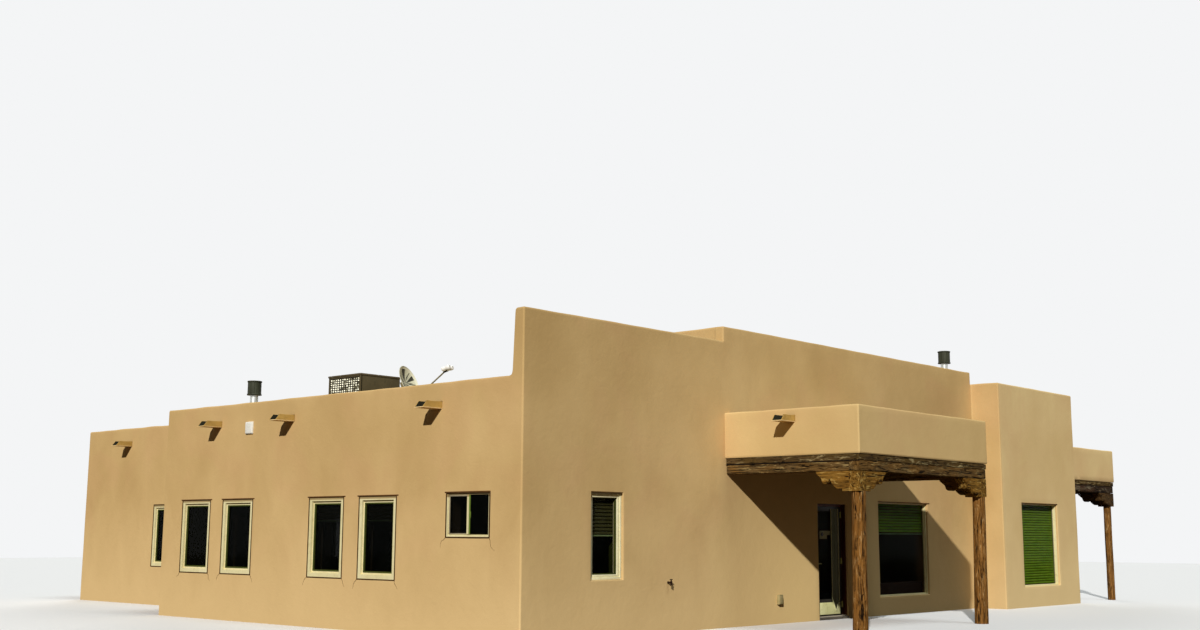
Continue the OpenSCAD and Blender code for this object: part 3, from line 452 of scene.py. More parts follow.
def wall(corners, tops, lows, ledges, highest=None, openings=(), jumps=(), marks=(), step=0.13,
         foot_r=0.0, closed=False):
    """A stucco wall carried along a plan path.

    Its section goes up the outer face, over the rounded parapet, down its inner side to the
    ledge, down the thicker wall to its foot, and closes there. tops, lows and ledges are heights,
    or give them for a plan point. An opening is (x, y, width, z0, z1, depth): its cells are left
    out of both faces and a reveal with a rounded lip joins them. A jump is (x, y, height), where
    the top changes: the higher end's upright edge and top are rounded above that height.
    """
    highest = tops if highest is None else highest
    marks = [*marks, *((x, y) for x, y, _ in jumps)]
    for x, y, _ in jumps:
        for gap in EDGE_R * ARC_STEPS[1:]:
            marks += [(x - gap, y), (x + gap, y), (x, y - gap), (x, y + gap)]
    lines = set(np.arange(0, highest + step, step).round(5).tolist())
    edges = {0.0, round(highest, 5)} | {round(float(j[2]), 5) for j in jumps}
    for x, y, width, z0, z1, _ in openings:
        for gap in [0.0, *(LIP_R * ARC_STEPS[1:])]:
            for shift in (-(width / 2 + gap), width / 2 + gap):
                marks += [(x + shift, y), (x, y + shift)]
            edges |= {round(z0 - gap, 5) if z0 > 0 else 0.0, round(z1 + gap, 5)}
    for z in edges:
        lines = {v for v in lines if abs(v - z) > 0.03 or v in edges}
    lines = np.array(sorted(lines | edges))
    levels = [0.0, highest, *(o[3] for o in openings), *(o[4] for o in openings)]
    must = np.array([any(abs(v - z) < 1e-5 for z in levels) for v in lines])
    coarse = lines[must | (np.arange(len(lines)) % 4 == 0)][::-1]

    placed = []
    samples = path_samples(corners, step, marks)
    for number, sample in enumerate(samples):
        plan = inward_at(sample, [0.0])[0]
        nudges = [0]
        if sample[0] == "run" and any(np.linalg.norm(plan - j[:2]) < 1e-5 for j in jumps):
            nudges = [n for n in (-1, 1) if 0 <= number + n < len(samples)]
        for nudge in nudges:
            probe = plan + (sample[2] * nudge * 1e-4 if nudge else 0)
            top, low, ledge = (v(*probe) if callable(v) else v for v in (tops, lows, ledges))
            cut, drop, above = 0.0, 0.0, 99.0
            for x, y, height in jumps:
                distance = np.linalg.norm(plan - (x, y))
                if distance < EDGE_R and top > height + 0.01:
                    cut = drop = float(arc_drop(distance, EDGE_R))
                    above = height
                elif distance < 1e-5:
                    cut, above = EDGE_R, height
            placed.append((sample, top - drop, low, ledge, cut, above))
    turn = np.radians([0, 18, 36, 54, 72, 90])
    columns, kinds = [], None
    for sample, top, low, ledge, cut, above in placed:
        shoulder = top - EDGE_R
        parts = []
        if foot_r:
            down = np.radians([90, 60, 30])
            parts.append((foot_r * np.sin(down), low + foot_r * (1 - np.cos(down)), 1))
        parts += [(0, np.clip(lines, low + foot_r, shoulder), 0),
                  (EDGE_R * (1 - np.cos(turn[1:])), shoulder + EDGE_R * np.sin(turn[1:]), 1),
                  (PARAPET_T - EDGE_R * (1 - np.cos(turn[::-1])),
                   shoulder + EDGE_R * np.sin(turn[::-1]), 1),
                  (PARAPET_T, np.clip(coarse, ledge, shoulder), 2),
                  (WALL_T, np.clip(coarse, low, ledge), 3)]
        rows = [np.broadcast_arrays(*(np.atleast_1d(np.asarray(v, float)) for v in part))
                for part in parts]
        depth, height, kinds = (np.concatenate([r[k] for r in rows]) for k in range(3))
        level = height.copy()
        level[kinds == 0] = lines
        past = level > above
        if cut == EDGE_R and top <= above + 0.01:
            past |= (kinds == 1) & (depth < EDGE_R + 1e-6)
            height = np.where(past, top, height)
        depth = np.where(past, np.maximum(depth, cut), depth)
        columns.append(np.column_stack([inward_at(sample, depth), height]))
    points = np.array(columns)
    count, rows = points.shape[:2]
    outer, slot_rows, inner = (np.flatnonzero(kinds == k) for k in (0, 2, 3))
    face_line = np.array([inward_at(p[0], [0.0])[0] for p in placed])
    inward = np.array([p[0][3] / np.linalg.norm(p[0][3]) for p in placed])
    straight = np.array([p[0][0] == "run" for p in placed])

    dip = np.zeros((count, rows))
    keep = np.ones((count, rows), bool)
    reveals = []
    for x, y, width, z0, z1, deep in openings:
        offset = face_line - (x, y)
        on_face = straight & (np.abs((offset * inward).sum(1)) < 1e-6)
        gap = np.where(on_face, np.linalg.norm(offset, axis=1) - width / 2, 9.0)
        over = np.maximum(np.maximum(z0 - lines, lines - z1), 0)
        lip = arc_drop(np.hypot(np.maximum(gap, 0)[:, None], over), LIP_R)
        dip[:, outer] = np.maximum(dip[:, outer], lip)
        c0, c1 = np.flatnonzero(gap < 1e-6)[[0, -1]]
        r0, r1 = (outer[np.argmin(np.abs(lines - z))] for z in (z0, z1))
        keep[c0:c1, r0:r1] = False
        back_rows = slot_rows if deep < WALL_T - 1e-6 else inner
        b1, b0 = (back_rows[np.argmin(np.abs(coarse - z))] for z in (z1, z0))
        keep[c0:c1, b1:b0] = False
        if z0 < 1e-6:
            keep[c0:c1, rows - 1] = False
        ring = ([(c, r0) for c in range(c0, c1)] + [(c1, r) for r in range(r0, r1)]
                + [(c, r1) for c in range(c1, c0, -1)] + [(c0, r) for r in range(r1, r0, -1)])
        reveals.append((ring, deep))

    # Hand floating: the outer face wanders a few millimetres inward, the crest up and down
    field = unevenness(points)
    skin = np.isin(kinds, (0, 1))[None, :]
    moved = points.copy()
    moved[:, :, :2] += inward[:, None, :] * (dip + skin * 0.005 * field)[:, :, None]
    crest = np.clip(1 - (np.array([p[1] for p in placed])[:, None] - points[:, :, 2]) / 0.5, 0, 1)
    moved[:, :, 2] += skin * crest * 0.007 * (field * 2 - 1)
    shape = [moved.reshape(-1, 3)]
    index = np.arange(count * rows).reshape(count, rows)
    faces = []
    for c in range(count if closed else count - 1):
        use = np.flatnonzero(keep[c])
        after, beside = (use + 1) % rows, (c + 1) % count
        faces += np.stack([index[c, use], index[beside, use], index[beside, after],
                           index[c, after]], 1).tolist()
    if not closed:
        faces += [index[0].tolist(), index[-1][::-1].tolist()]
    start = count * rows
    for ring, deep in reveals:
        cols, heights = np.array(ring).T
        rear = points[cols, heights].copy()
        rear[:, :2] += inward[cols] * deep
        size = np.arange(len(ring))
        near, far, turned = index[cols, heights], start + size, (size + 1) % len(ring)
        faces += np.stack([near, near[turned], far[turned], far], 1).tolist()
        shape.append(rear)
        start += len(ring)
    return np.vstack(shape), faces


# The tall front parapet's end: its rounded top, its battered back and the curve at its foot
END_PROFILE = ([0.156, 0.166, 0.173, 0.178, 0.181, 0.222, 0.230, 0.245, 0.270, 0.310],
               [STEP_TOP, 4.842, 4.835, 4.822, 4.795, 3.960, 3.908, 3.872, 3.850, LOW_TOP])
BLOCK_START = GREAT_X - FILLET_R - 1e-3


def house_top(x, y):
    """Height of the outer walls' parapet at a plan point."""
    if x < 1e-4 and y > 0.130:
        return float(np.interp(y, *END_PROFILE))
    if y < 0.180 and x < BLOCK_START:
        return GREAT_TOP if x > STEP_X else STEP_TOP
    return BLOCK_TOP if x >= BLOCK_START and y < RANGE_Y else LOW_TOP


def house_ledge(x, y):
    """Height where the thick wall ends under the roof deck."""
    if x > GREAT_X - FILLET_R and y < RANGE_Y:
        return BLOCK_DECK - DECK_T
    return GREAT_DECK - DECK_T if y < 0.01 and x > STEP_X else LOW_DECK - DECK_T


# Windows: (middle along the wall, width, sill, height)
NARROW = (1.863, 0.736, 0.849, 1.327)
PORCH_WINDOW = (10.825, 1.950, 0.357, 1.833)
BLOCK_WINDOW = (GREAT_X + 1.830, 1.820, 0.447, 1.810)
SLIDER = (1.136, 0.945, 1.490, 0.660)
TALL = TALL_W, TALL_SILL, TALL_H = 0.920, 0.820, 1.306
LEFT_WINDOWS = (3.2495, 4.5845, 7.1655, 8.5005)
WING_WINDOW = 12.750
DOOR_X, DOOR_W, DOOR_TOP = 8.195, 0.990, 2.118
SPOUTS_LEFT, SPOUT_WING, SPOUT_PORCH = (1.766, 5.570, 7.788), 14.290, -1.430
SPOUT_W, SPOUT_H, SPOUT_Z, SPOUT_PORCH_Z = 0.200, 0.112, 3.430, 3.373
# The unseen sides repeat the left side's windows, a pitch apart
PITCH = 1.335
BACK_WINDOWS = (WING_X1 + PITCH * 1.5, (WING_X1 + HOUSE_W) / 2 + PITCH, HOUSE_W - PITCH * 1.5)
WING_BACK = ((WING_X0 + WING_X1 - PITCH) / 2, (WING_X0 + WING_X1 + PITCH) / 2)
WING_SIDE = ((BACK_Y + WING_Y) / 2 - PITCH, (BACK_Y + WING_Y) / 2 + PITCH)
tall_places = [(WING_X0, WING_WINDOW), (HOUSE_W, (RANGE_Y + BACK_Y) / 2),
               *((0.0, y) for y in LEFT_WINDOWS), *((x, BACK_Y) for x in BACK_WINDOWS),
               *((x, WING_Y) for x in WING_BACK), *((WING_X1, y) for y in WING_SIDE)]


def opening(x, y, width, sill, height, deep=WALL_T):
    """An opening in a wall, as wall() takes it."""
    return (x, y, width, sill, sill + height, deep)


def spout_opening(x, y, z):
    """The slot of a spout whose near cheek is at y."""
    return opening(x, y + SPOUT_W / 2, SPOUT_W, z, SPOUT_H, PARAPET_T)


house_openings = [opening(NARROW[0], 0.0, *NARROW[1:]),
                  opening(PORCH_WINDOW[0], 0.0, *PORCH_WINDOW[1:]),
                  opening(BLOCK_WINDOW[0], BLOCK_Y, *BLOCK_WINDOW[1:]),
                  opening(DOOR_X, 0.0, DOOR_W, 0.0, DOOR_TOP), opening(0.0, *SLIDER),
                  *(opening(x, y, *TALL) for x, y in tall_places),
                  *(spout_opening(0.0, y, SPOUT_Z) for y in SPOUTS_LEFT),
                  spout_opening(WING_X0, SPOUT_WING, SPOUT_Z)]


def stucco_material(name, shades, dull_shade, bounce_lit_foot):
    """Hand-floated, earth-coloured stucco: broad trowel clouds, faint upright mottles where rain
    ran down, a paler foot that is painted bounce light from the ground, a paler patch beside the
    porch that is painted bounce light as well, and a fine sanded grain."""
    coat = Coat(name, 0.93, specular=0.05)
    mottles = coat.noise(1.3, 5.0, 0.6, stretch=(1.1, 1.1, 0.7), distortion=0.4)
    colour = coat.ramp(coat.noise(0.5, 3.0, 0.5), *zip((0.3, 0.5, 0.7), shades))
    batches = coat.noise(0.8, 2.0, 0.5, distortion=0.8)
    colour = coat.lay(colour, "#CFA073", batches, (0.48, 0.0), (0.66, 0.20))
    colour = coat.lay(colour, dull_shade, mottles, (0.38, 0.0), (0.75, 0.28))
    # Painted bounce light: the walls are drawn paler towards their foot
    edge = coat.sum("MULTIPLY_ADD", mottles, 1.4, coat.height())
    colour = coat.mix(coat.span(edge, 0.9, 3.0, 0.85, 0.0), colour, bounce_lit_foot)
    # Painted bounce light: a paler patch on the front wall beside the porch, fading out by 3.2 m
    away = coat.add("ShaderNodeVectorMath", {0: coat.where, 1: (*(corner + [7.2, 0.0, 0.2]),)},
                    operation="DISTANCE").outputs["Value"]
    colour = coat.mix(coat.span(away, 0.4, 3.2, 0.9, 0.0), colour, "#F6D390")
    # Grains 3 mm across, drawn coarser than the real sand so that they show at this distance
    grain = coat.noise(330.0, 2.0, 0.6)
    colour = coat.mix(1.0, colour, coat.ramp(grain, (0.3, 0.93), (0.7, 1.0)), "MULTIPLY")
    float_marks = coat.noise(7.0, 4.0, 0.6, distortion=0.6)
    return coat.finish(colour, coat.sum("MULTIPLY_ADD", grain, 0.12, float_marks), 0.005, 0.8)


def stucco_piece(name, material, replaced, *args, **more):
    """A wall as one welded piece of stucco."""
    return make_piece(name, [wall(*args, **more)], material, "stucco", *replaced, weld=1e-4)


stucco = stucco_material("hand_floated_stucco", ("#C09E67", "#CBA971", "#D3B179"), "#B38F5B",
                         "#DFBD84")
newer_stucco = stucco_material("newer_stucco_coat", ("#CAA970", "#D3B37A", "#D9B980"), "#C19F68",
                               "#DFBE85")
pale_stucco = stucco_material("pale_stucco_coat", ("#D8B87F", "#E0C189", "#E6C98F"), "#CEAE77",
                              "#E9CB92")
loop = [(HOUSE_W, RANGE_Y), (HOUSE_W, BLOCK_Y), (GREAT_X, BLOCK_Y), (GREAT_X, 0.0), (0.0, 0.0),
        (0.0, BACK_Y), (WING_X0, BACK_Y), (WING_X0, WING_Y), (WING_X1, WING_Y), (WING_X1, BACK_Y),
        (HOUSE_W, BACK_Y), (HOUSE_W, RANGE_Y)]
walls = stucco_piece("outer_walls", stucco,
                     ["front_wall_left", "front_wall_middle", "front_wall_over_door",
                      "front_wall_right", "block_front_wall", "left_wall", "back_wall",
                      "right_wall", "wing_left_wall", "wing_back_wall", "wing_right_wall"],
                     loop, house_top, 0.0, house_ledge, GREAT_TOP, openings=house_openings,
                     jumps=[(HOUSE_W, RANGE_Y, LOW_TOP), (STEP_X, 0.0, STEP_TOP),
                            (BLOCK_START, 0.0, BLOCK_TOP)],
                     marks=[(0.0, y) for y in END_PROFILE[0]], step=0.15, closed=True)
walls.data.materials.append(pale_stucco)
centres = np.empty(3 * len(walls.data.polygons))
walls.data.polygons.foreach_get("center", centres)
on_block_front = ((centres[::3] > corner[0] + GREAT_X + 0.028)
                  & (centres[1::3] < corner[1] + BLOCK_Y + 0.05))
walls.data.polygons.foreach_set("material_index", on_block_front.astype(np.int32))

stucco_piece("tall_room_walls", stucco, ["great_left_wall", "great_back_wall", "great_right_wall"],
             [(STEP_X, PARAPET_T - 0.001), (STEP_X, RANGE_Y), (GREAT_X, RANGE_Y), (GREAT_X, 0.02)],
             GREAT_TOP,
             lambda x, y: 4.06 if x > GREAT_X - 1e-4 and y < RANGE_Y - 0.06 else LOW_DECK - 0.01,
             GREAT_DECK - DECK_T)
stucco_piece("block_rear_wall", pale_stucco, ["block_back_wall"],
             [(GREAT_X - EDGE_R, RANGE_Y), (HOUSE_W - PARAPET_T + 0.001, RANGE_Y)], BLOCK_TOP,
             LOW_DECK - 0.01, BLOCK_DECK - DECK_T)
stucco_piece("porch_parapet_shell", newer_stucco, ["porch_parapet"],
             [(PORCH_X1, 0.006), (PORCH_X1, PORCH_Y), (PORCH_X0, PORCH_Y), (PORCH_X0, 0.006)],
             PORCH_TOP, FASCIA_Z, PORCH_LEDGE, foot_r=0.02,
             openings=[spout_opening(PORCH_X0, SPOUT_PORCH, SPOUT_PORCH_Z)])
stucco_piece("side_porch_parapet_shell", pale_stucco, ["side_porch_parapet"],
             [(HOUSE_W - 0.006, SIDE_Y1), (SIDE_X1, SIDE_Y1), (SIDE_X1, SIDE_Y0),
              (HOUSE_W - 0.006, SIDE_Y0)],
             PORCH_TOP + SIDE_RISE, FASCIA_Z + SIDE_RISE, PORCH_LEDGE + SIDE_RISE, foot_r=0.02)


# ---------------------------------------------------------------- porch timber
def wood_material(name, browns, greys, grey_share, crack, fleck, coarse=1.0):
    """Weathered wood read along its grain: long streaks between two browns, silvered patches
    that follow the tint, and dark drying cracks that open along the grain."""
    coat = Coat(name, 0.85, specular=0.06)
    along, tint = coat.field("grain").outputs["Vector"], coat.field("tint").outputs["Fac"]

    def grained(scale, detail, rough, shrink, distortion=0.0):
        return coat.noise(scale, detail, rough, (shrink, 1.0, 1.0), distortion, along)

    # Growth rings 4 mm apart, drawn coarser than real so that they show at this distance
    streaks = grained(26.0 / coarse, 6.0, 0.7, 0.09, 0.5)
    broad = grained(3.2, 4.0, 0.6, 0.45, 0.8)
    colour = coat.lay(browns[0], browns[1], streaks, (0.35, 0.0), (0.62, 1.0))
    colour = coat.lay(colour, browns[2], broad, (0.40, 0.0), (0.60, 0.9))
    patchy = grained(9.0, 5.0, 0.7, 0.3)
    weather = coat.sum("ADD", coat.sum("ADD", broad, tint), patchy)
    colour = coat.lay(colour, coat.mix(streaks, *greys), weather, (1.55 - grey_share, 0.0),
                      (1.75 - grey_share, 1.0))
    # Pale worn flecks and black rot 50 mm across
    flecks = grained(15.0 / coarse, 4.0, 0.65, 0.20, 1.0)
    colour = coat.lay(colour, greys[1], flecks, (0.55, 0.0), (0.64, fleck))
    colour = coat.lay(colour, crack, flecks, (0.35, 0.9), (0.43, 0.0))
    split = grained(13.0 / coarse, 3.0, 0.5, 0.05, 0.5)
    gap = coat.sum("ABSOLUTE", coat.sum("SUBTRACT", split, 0.5))
    dark = coat.mix(1.0, coat.ramp(gap, (0.008, 0.0), (0.034, 1.0)),
                    coat.ramp(patchy, (0.42, 1.0), (0.56, 0.0)), "ADD")
    return coat.finish(coat.mix(dark, crack, colour), coat.mix(0.35, dark, streaks), 0.010)


def timber(points, faces, grain, tint):
    """A timber part, its grids flattened."""
    return points.reshape(-1, 3), faces, grain.reshape(-1, 3), tint.ravel()


def sawn(start, end, width, height, worn=0.010, ragged=0.0, seed=0, step=0.045, tint=0.0,
         end_tint=None):
    """A sawn timber from start to end (the middle of its underside).

    Its section is a rectangle whose arrises are worn round; faces wander by the wave field, and
    ragged lets the lower arrises climb. end_tint is the tint at its two ends, fading over 0.5 m.
    """
    start, end = np.asarray(start, float), np.asarray(end, float)
    length = np.linalg.norm(end - start)
    way = (end - start) / length
    side, up = np.cross([0, 0, 1], way), np.array([0, 0, 1.0])
    count = max(3, int(length / step))
    along = np.linspace(0, length, count)
    section = []
    half, r = width / 2, worn
    for number, (sx, sz) in enumerate(((1, 1), (-1, 1), (-1, -1), (1, -1))):
        cx, cz = sx * (half - r), height - r if sz > 0 else r
        nx, nz = ((0, 1), (-1, 0), (0, -1), (1, 0))[number]
        run, shares = (width - 2 * r, (0.33, 0.67)) if nz else (height - 2 * r, (0.25, 0.5, 0.75))
        section += [(cx + r * math.cos(a), cz + r * math.sin(a))
                    for a in np.radians([0, 30, 60, 90]) + math.radians(90 * number)]
        section += [(cx + nx * r - nz * run * k, cz + nz * r + nx * run * k) for k in shares]
    section = np.array(section)
    size = len(section)
    plan = start + way * along[:, None]
    points = plan[:, None, :] + side * section[None, :, :1] + up * section[None, :, 1:]
    field, fine = unevenness(points * 3.1 + seed), unevenness(points * 11.0 - seed)
    out = np.clip(section / np.array([half, height]) * [1.0, 2.0] - [0, 1.0], -1, 1)
    push = (0.004 * (field - 1) + 0.0035 * (fine - 1))[:, :, None]
    points += side * out[None, :, :1] * push + up * out[None, :, 1:] * push
    if ragged:
        low = np.clip(1 - section[:, 1] / (height * 0.6), 0, 1)
        points[:, :, 2] += ragged * np.clip(fine * 1.8 - 0.9, 0, 1) * field * low[None]
    middle = plan[:, None, :] + [0, 0, height / 2]
    for k, keep in enumerate((0.75, 0.93)):
        for row in (k, count - 1 - k):
            shrink = 1 - (1 - keep) * 0.012 / 0.25 / max(width, height)
            points[row] = middle[row] + (points[row] - middle[row]) * shrink
    grain = np.stack([np.repeat(along[:, None], size, 1) + seed * 3.7,
                      np.broadcast_to(section[:, 0], (count, size)),
                      np.broadcast_to(section[:, 1], (count, size)) + seed], -1)
    shade = np.full(count, float(tint))
    if end_tint is not None:
        shade += (end_tint - tint) * np.clip(1 - np.minimum(along, length - along) / 0.5, 0, 1)
    return timber(points, capped(count, size), grain, np.repeat(shade, size))


CORBEL_H = 0.320


def corbel_depth(x):
    """How far a corbel hangs below its beam at a distance x from the post's axis: the bearing
    block, the swept belly, the cusp, the round lobe, and the stepped nose."""
    bearing = CORBEL_H if x <= 0.225 else 0
    arc = math.sqrt(max(0.260 ** 2 - (x - 0.205) ** 2, 0)) + 0.047
    belly = min(arc, CORBEL_H - 0.038) if abs(x - 0.205) < 0.260 else 0
    lobe = 0.128 + math.sqrt(0.071 ** 2 - (x - 0.545) ** 2) if abs(x - 0.545) < 0.071 else 0
    nose = np.interp(x, [0, 0.616, 0.628, 0.640, 0.725], [0.128, 0.128, 0.103, 0.093, 0.024])
    return max(bearing, belly, lobe, float(nose))


def corbel_arm(x, y, way, rise, width, seed):
    """One corbel arm from its post's axis: its section is a rectangle as deep as corbel_depth,
    with worn lower arrises, carried out along way."""
    cuts = np.unique(np.concatenate([np.linspace(-0.100, 0.225, 8), [0.2249, 0.2251],
                                     np.linspace(0.24, 0.47, 18), np.linspace(0.452, 0.616, 16),
                                     np.linspace(0.616, 0.725, 9)]))
    way = np.array([*way, 0.0])
    side = np.cross([0, 0, 1], way)
    half, worn = width / 2, 0.009
    rows = []
    for cut in cuts:
        deep = corbel_depth(cut)
        left = [(-half, -deep * share) for share in (0.0, 0.33, 0.66)]
        left += [(-half + worn * (1 - math.cos(a)), -deep + worn * (1 - math.sin(a)))
                 for a in np.radians([0, 45, 90])]
        rows.append([*left, (0.0, -deep), *((-a, b) for a, b in left[::-1])])
    rows = np.array(rows)
    count, size = rows.shape[:2]
    points = ([x, y, BEAM_Z + rise] + way * cuts[:, None, None] + side * rows[:, :, :1]
              + np.array([0, 0, 1.0]) * rows[:, :, 1:])
    field = unevenness(points * 4.0 + seed)
    points += side * (np.sign(rows[:, :, :1]) * -0.005 * field[:, :, None])
    faces = grid_faces(count, size, flip=True)
    faces += [[k * size + size - 1, k * size, (k + 1) * size, (k + 1) * size + size - 1]
              for k in range(count - 1)]
    faces += [list(range(size))[::-1], [(count - 1) * size + k for k in range(size)]]
    grain = np.stack([np.broadcast_to(cuts[:, None], (count, size)) + seed * 2.3, rows[:, :, 0],
                      rows[:, :, 1] + seed], -1)
    return timber(points, faces, grain, np.clip(0.25 + rows[:, :, 1] * 2.2, -0.5, 0.25))


def bracket(y, seed):
    """Short bracket on the block's wall: a rectangle whose outer lower corner is cut away by a
    quarter ellipse, carried across the beam's width."""
    curve = [(0.230 + 0.180 * math.cos(a), -0.270 + 0.210 * math.sin(a))
             for a in np.radians(np.linspace(90, 180, 12))]
    outline = [(0.004, 0.0), (0.230, 0.0), *curve, (0.004, -0.270), (0.004, -0.135)]
    across = np.linspace(-BEAM_W / 2, BEAM_W / 2, 7)
    pinch = np.where(np.abs(across) > BEAM_W / 2 - 0.001, 0.990, 1.0)
    rows = np.array([[(x * k, a, z * k) for x, z in outline] for a, k in zip(across, pinch)])
    points = np.array([HOUSE_W, y, BEAM_Z + SIDE_RISE]) + rows
    points[:, :, 1] -= 0.004 * np.sign(rows[:, :, 1]) * unevenness(points * 4)
    return timber(points, capped(*rows.shape[:2]), rows + [seed * 2.3, 0, seed],
                  np.clip(0.2 + rows[:, :, 2] * 2.0, -0.5, 0.25))


def log_post(x, y, height, lean, seed, foot_d=0.245, top_d=0.225):
    """A peeled log: rings up a slightly leaning axis whose radius wanders with height and round
    the log, with a few drying cracks cut in as narrow grooves."""
    levels = np.linspace(0, height, 46)
    turn = np.linspace(0, 2 * np.pi, 72, endpoint=False)
    draws = np.random.default_rng(seed)
    up, around = np.meshgrid(levels, turn, indexing="ij")
    radius = (foot_d + (top_d - foot_d) * up / height) / 2
    ring = np.stack([np.cos(around), np.sin(around), up * 1.2], -1)
    radius = radius - 0.006 * unevenness(ring * 0.9 + seed)
    for number in range(9):
        at, reach = draws.uniform(0, 2 * np.pi), draws.uniform(0.25, 0.9)
        middle, wide = draws.uniform(0.1, 0.9) * height, draws.uniform(0.05, 0.10)
        drift = at + 0.16 * np.sin(up * draws.uniform(1.5, 4) + number)
        gap = np.abs((around - drift + np.pi) % (2 * np.pi) - np.pi)
        along = np.clip(1 - np.abs(up - middle) / reach, 0, 1)
        radius = radius - 0.012 * np.clip(1 - gap / wide, 0, 1) * np.sqrt(along)
    points = np.stack([x + lean * up / height + radius * np.cos(around),
                       y + radius * np.sin(around), up], -1)
    deep = np.clip((foot_d / 2 - radius - 0.008) / 0.01, 0, 1)
    grain = np.stack([up + seed * 5.1, 0.12 * np.cos(around), 0.12 * np.sin(around) + seed], -1)
    return timber(points, capped(len(levels), len(turn), flip=True), grain, 0.05 - 0.4 * deep)


plank_z = BEAM_Z + BEAM_H
mid = BEAM_IN + BEAM_W / 2
back_y = -0.004
RIM_W, RIM_DROP, BOARD_W = 0.070, 0.016, 0.15


def porch_frame(x0, x1, y0, y1, rise, seed, end_tint, beside=False):
    """Rim boards and beams round a porch: one along its front and two back to the house, or, for
    a porch beside the house, two out from the house and one between their ends."""
    made = []
    for inset, w, h, z, worn, ragged, tint, first in (
            (PLANK_IN, RIM_W, PLANK_H + RIM_DROP, plank_z + rise - RIM_DROP, 0.008, 0.018, None,
             seed),
            (BEAM_IN, BEAM_W, BEAM_H, BEAM_Z + rise, 0.012, 0.012, end_tint, seed + 3)):
        left, right, front, back = x0 + inset, x1 - inset, y0 + inset, y1 - inset
        near, far, behind = front + w / 2, back - w / 2, front + w
        if beside:
            lines = [((x0 + 0.004, near), (right, near)), ((x0 + 0.004, far), (right, far)),
                     ((right - w / 2, behind), (right - w / 2, back - w))]
        else:
            lines = [((left, near), (right, near)),
                     ((left + w / 2, behind), (left + w / 2, back_y)),
                     ((right - w / 2, behind), (right - w / 2, back_y))]
        made.append([sawn((*a, z), (*b, z), w, h, worn, ragged, first + k, end_tint=tint)
                     for k, (a, b) in enumerate(lines)])
    return made


def ceiling(x0, x1, y0, y1, z, seed):
    """Ceiling boards side by side over the beams, each with worn arrises."""
    edges = np.linspace(x0, x1, int(round((x1 - x0) / BOARD_W)) + 1)
    return [sawn(((a + b) / 2, y0, z), ((a + b) / 2, y1, z), b - a - 0.003, PLANK_H - 0.002, 0.006,
                 0, seed + k, step=0.4, tint=-0.2)
            for k, (a, b) in enumerate(zip(edges, edges[1:]))]


beam_wood = wood_material("weathered_sawn_beam", ("#3C2D17", "#6A5230", "#705026"),
                          ("#74603C", "#B09660"), 0.38, "#070401", 0.45)
rim_wood = wood_material("silvered_rim_board", ("#332512", "#5E482A", "#54401F"),
                         ("#84704A", "#BCA878"), 0.36, "#070401", 0.5)
carved_wood = wood_material("carved_corbel_wood", ("#46300E", "#9A702E", "#75501C"),
                            ("#93763A", "#C8A75E"), 0.34, "#0D0602", 0.5)
side_wood = wood_material("rain_streaked_beam", ("#1C140C", "#3A2B1D", "#452F1E"),
                          ("#6A5A42", "#A8987A"), 0.28, "#090502", 0.35)
# The side porch's corbels and brackets are drawn far darker than the front ones: painted shade
shaded_side_carved = wood_material("painted_shade_corbel", ("#241A0E", "#4A3720", "#553C20"),
                            ("#5E4D30", "#8A754C"), 0.26, "#090502", 0.4)
log_wood = wood_material("peeled_log", ("#4A2C0F", "#986A34", "#7C5222"),
                         ("#A27A46", "#C4A26C"), 0.40, "#0D0602", 0.45, 0.8)

post_x0, post_x1, post_y, post_h = PORCH_X0 + mid, PORCH_X1 - mid, PORCH_Y + mid, BEAM_Z - CORBEL_H
side_x, side_ys = SIDE_X1 - mid, ((SIDE_Y0 + mid, 1), (SIDE_Y1 - mid, -1))
front_corbels = [corbel_arm(x, post_y, way, 0.0, width, seed) for x, way, width, seed in (
    (post_x0, (1, 0), BEAM_W, 1), (post_x0, (0, 1), BEAM_W - 0.004, 2),
    (post_x1, (-1, 0), BEAM_W, 3), (post_x1, (0, 1), BEAM_W - 0.004, 4))]
side_corbels = []
for number, (y, inward) in enumerate(side_ys):
    side_corbels += [corbel_arm(side_x, y, (-1, 0), SIDE_RISE, BEAM_W, 11 + number),
                     corbel_arm(side_x, y, (0, inward), SIDE_RISE, BEAM_W - 0.004, 13 + number),
                     bracket(y, 15 + number)]
for porch, (rims, beams), boards, corbels, logs, beam_finish, corbel_finish, corbel_name in (
        ("porch", porch_frame(PORCH_X0, PORCH_X1, PORCH_Y, 0.0, 0.0, 11, -0.5),
         ceiling(PORCH_X0 + 0.09, PORCH_X1 - 0.09, PORCH_Y + 0.09, back_y, plank_z, 60),
         front_corbels,
         [log_post(post_x0 - 0.015, post_y, post_h, 0.045, 3),
          log_post(post_x1 - 0.080, post_y, post_h, 0.065, 8)], beam_wood, carved_wood, "pair"),
        ("side_porch",
         porch_frame(HOUSE_W, SIDE_X1, SIDE_Y0, SIDE_Y1, SIDE_RISE, 31, -0.4, beside=True),
         ceiling(HOUSE_W + 0.004, SIDE_X1 - 0.09, SIDE_Y0 + 0.09, SIDE_Y1 - 0.09,
                 plank_z + SIDE_RISE, 120),
         side_corbels,
         [log_post(side_x - 0.090, y, post_h + SIDE_RISE, 0.0, seed, 0.184, 0.182)
          for (y, _), seed in zip(side_ys, (21, 22))], side_wood, shaded_side_carved, "set")):
    for name, parts, finish, slot, node, smooth in (
            ("rim_boards", rims, rim_wood, "beam_wood", "planks", 40),
            ("ceiling_boards", boards, beam_wood, "beam_wood", "planks", 40),
            ("beam_frame", beams, beam_finish, "beam_wood", "beams", 40),
            ("corbel_" + corbel_name, corbels, corbel_finish, "carved_wood", "corbels", 35),
            ("logs", logs, log_wood, "log_wood", "posts", 60)):
        make_piece(f"{porch}_{name}", parts, finish, slot, f"{porch}_{node}", smooth=smooth)


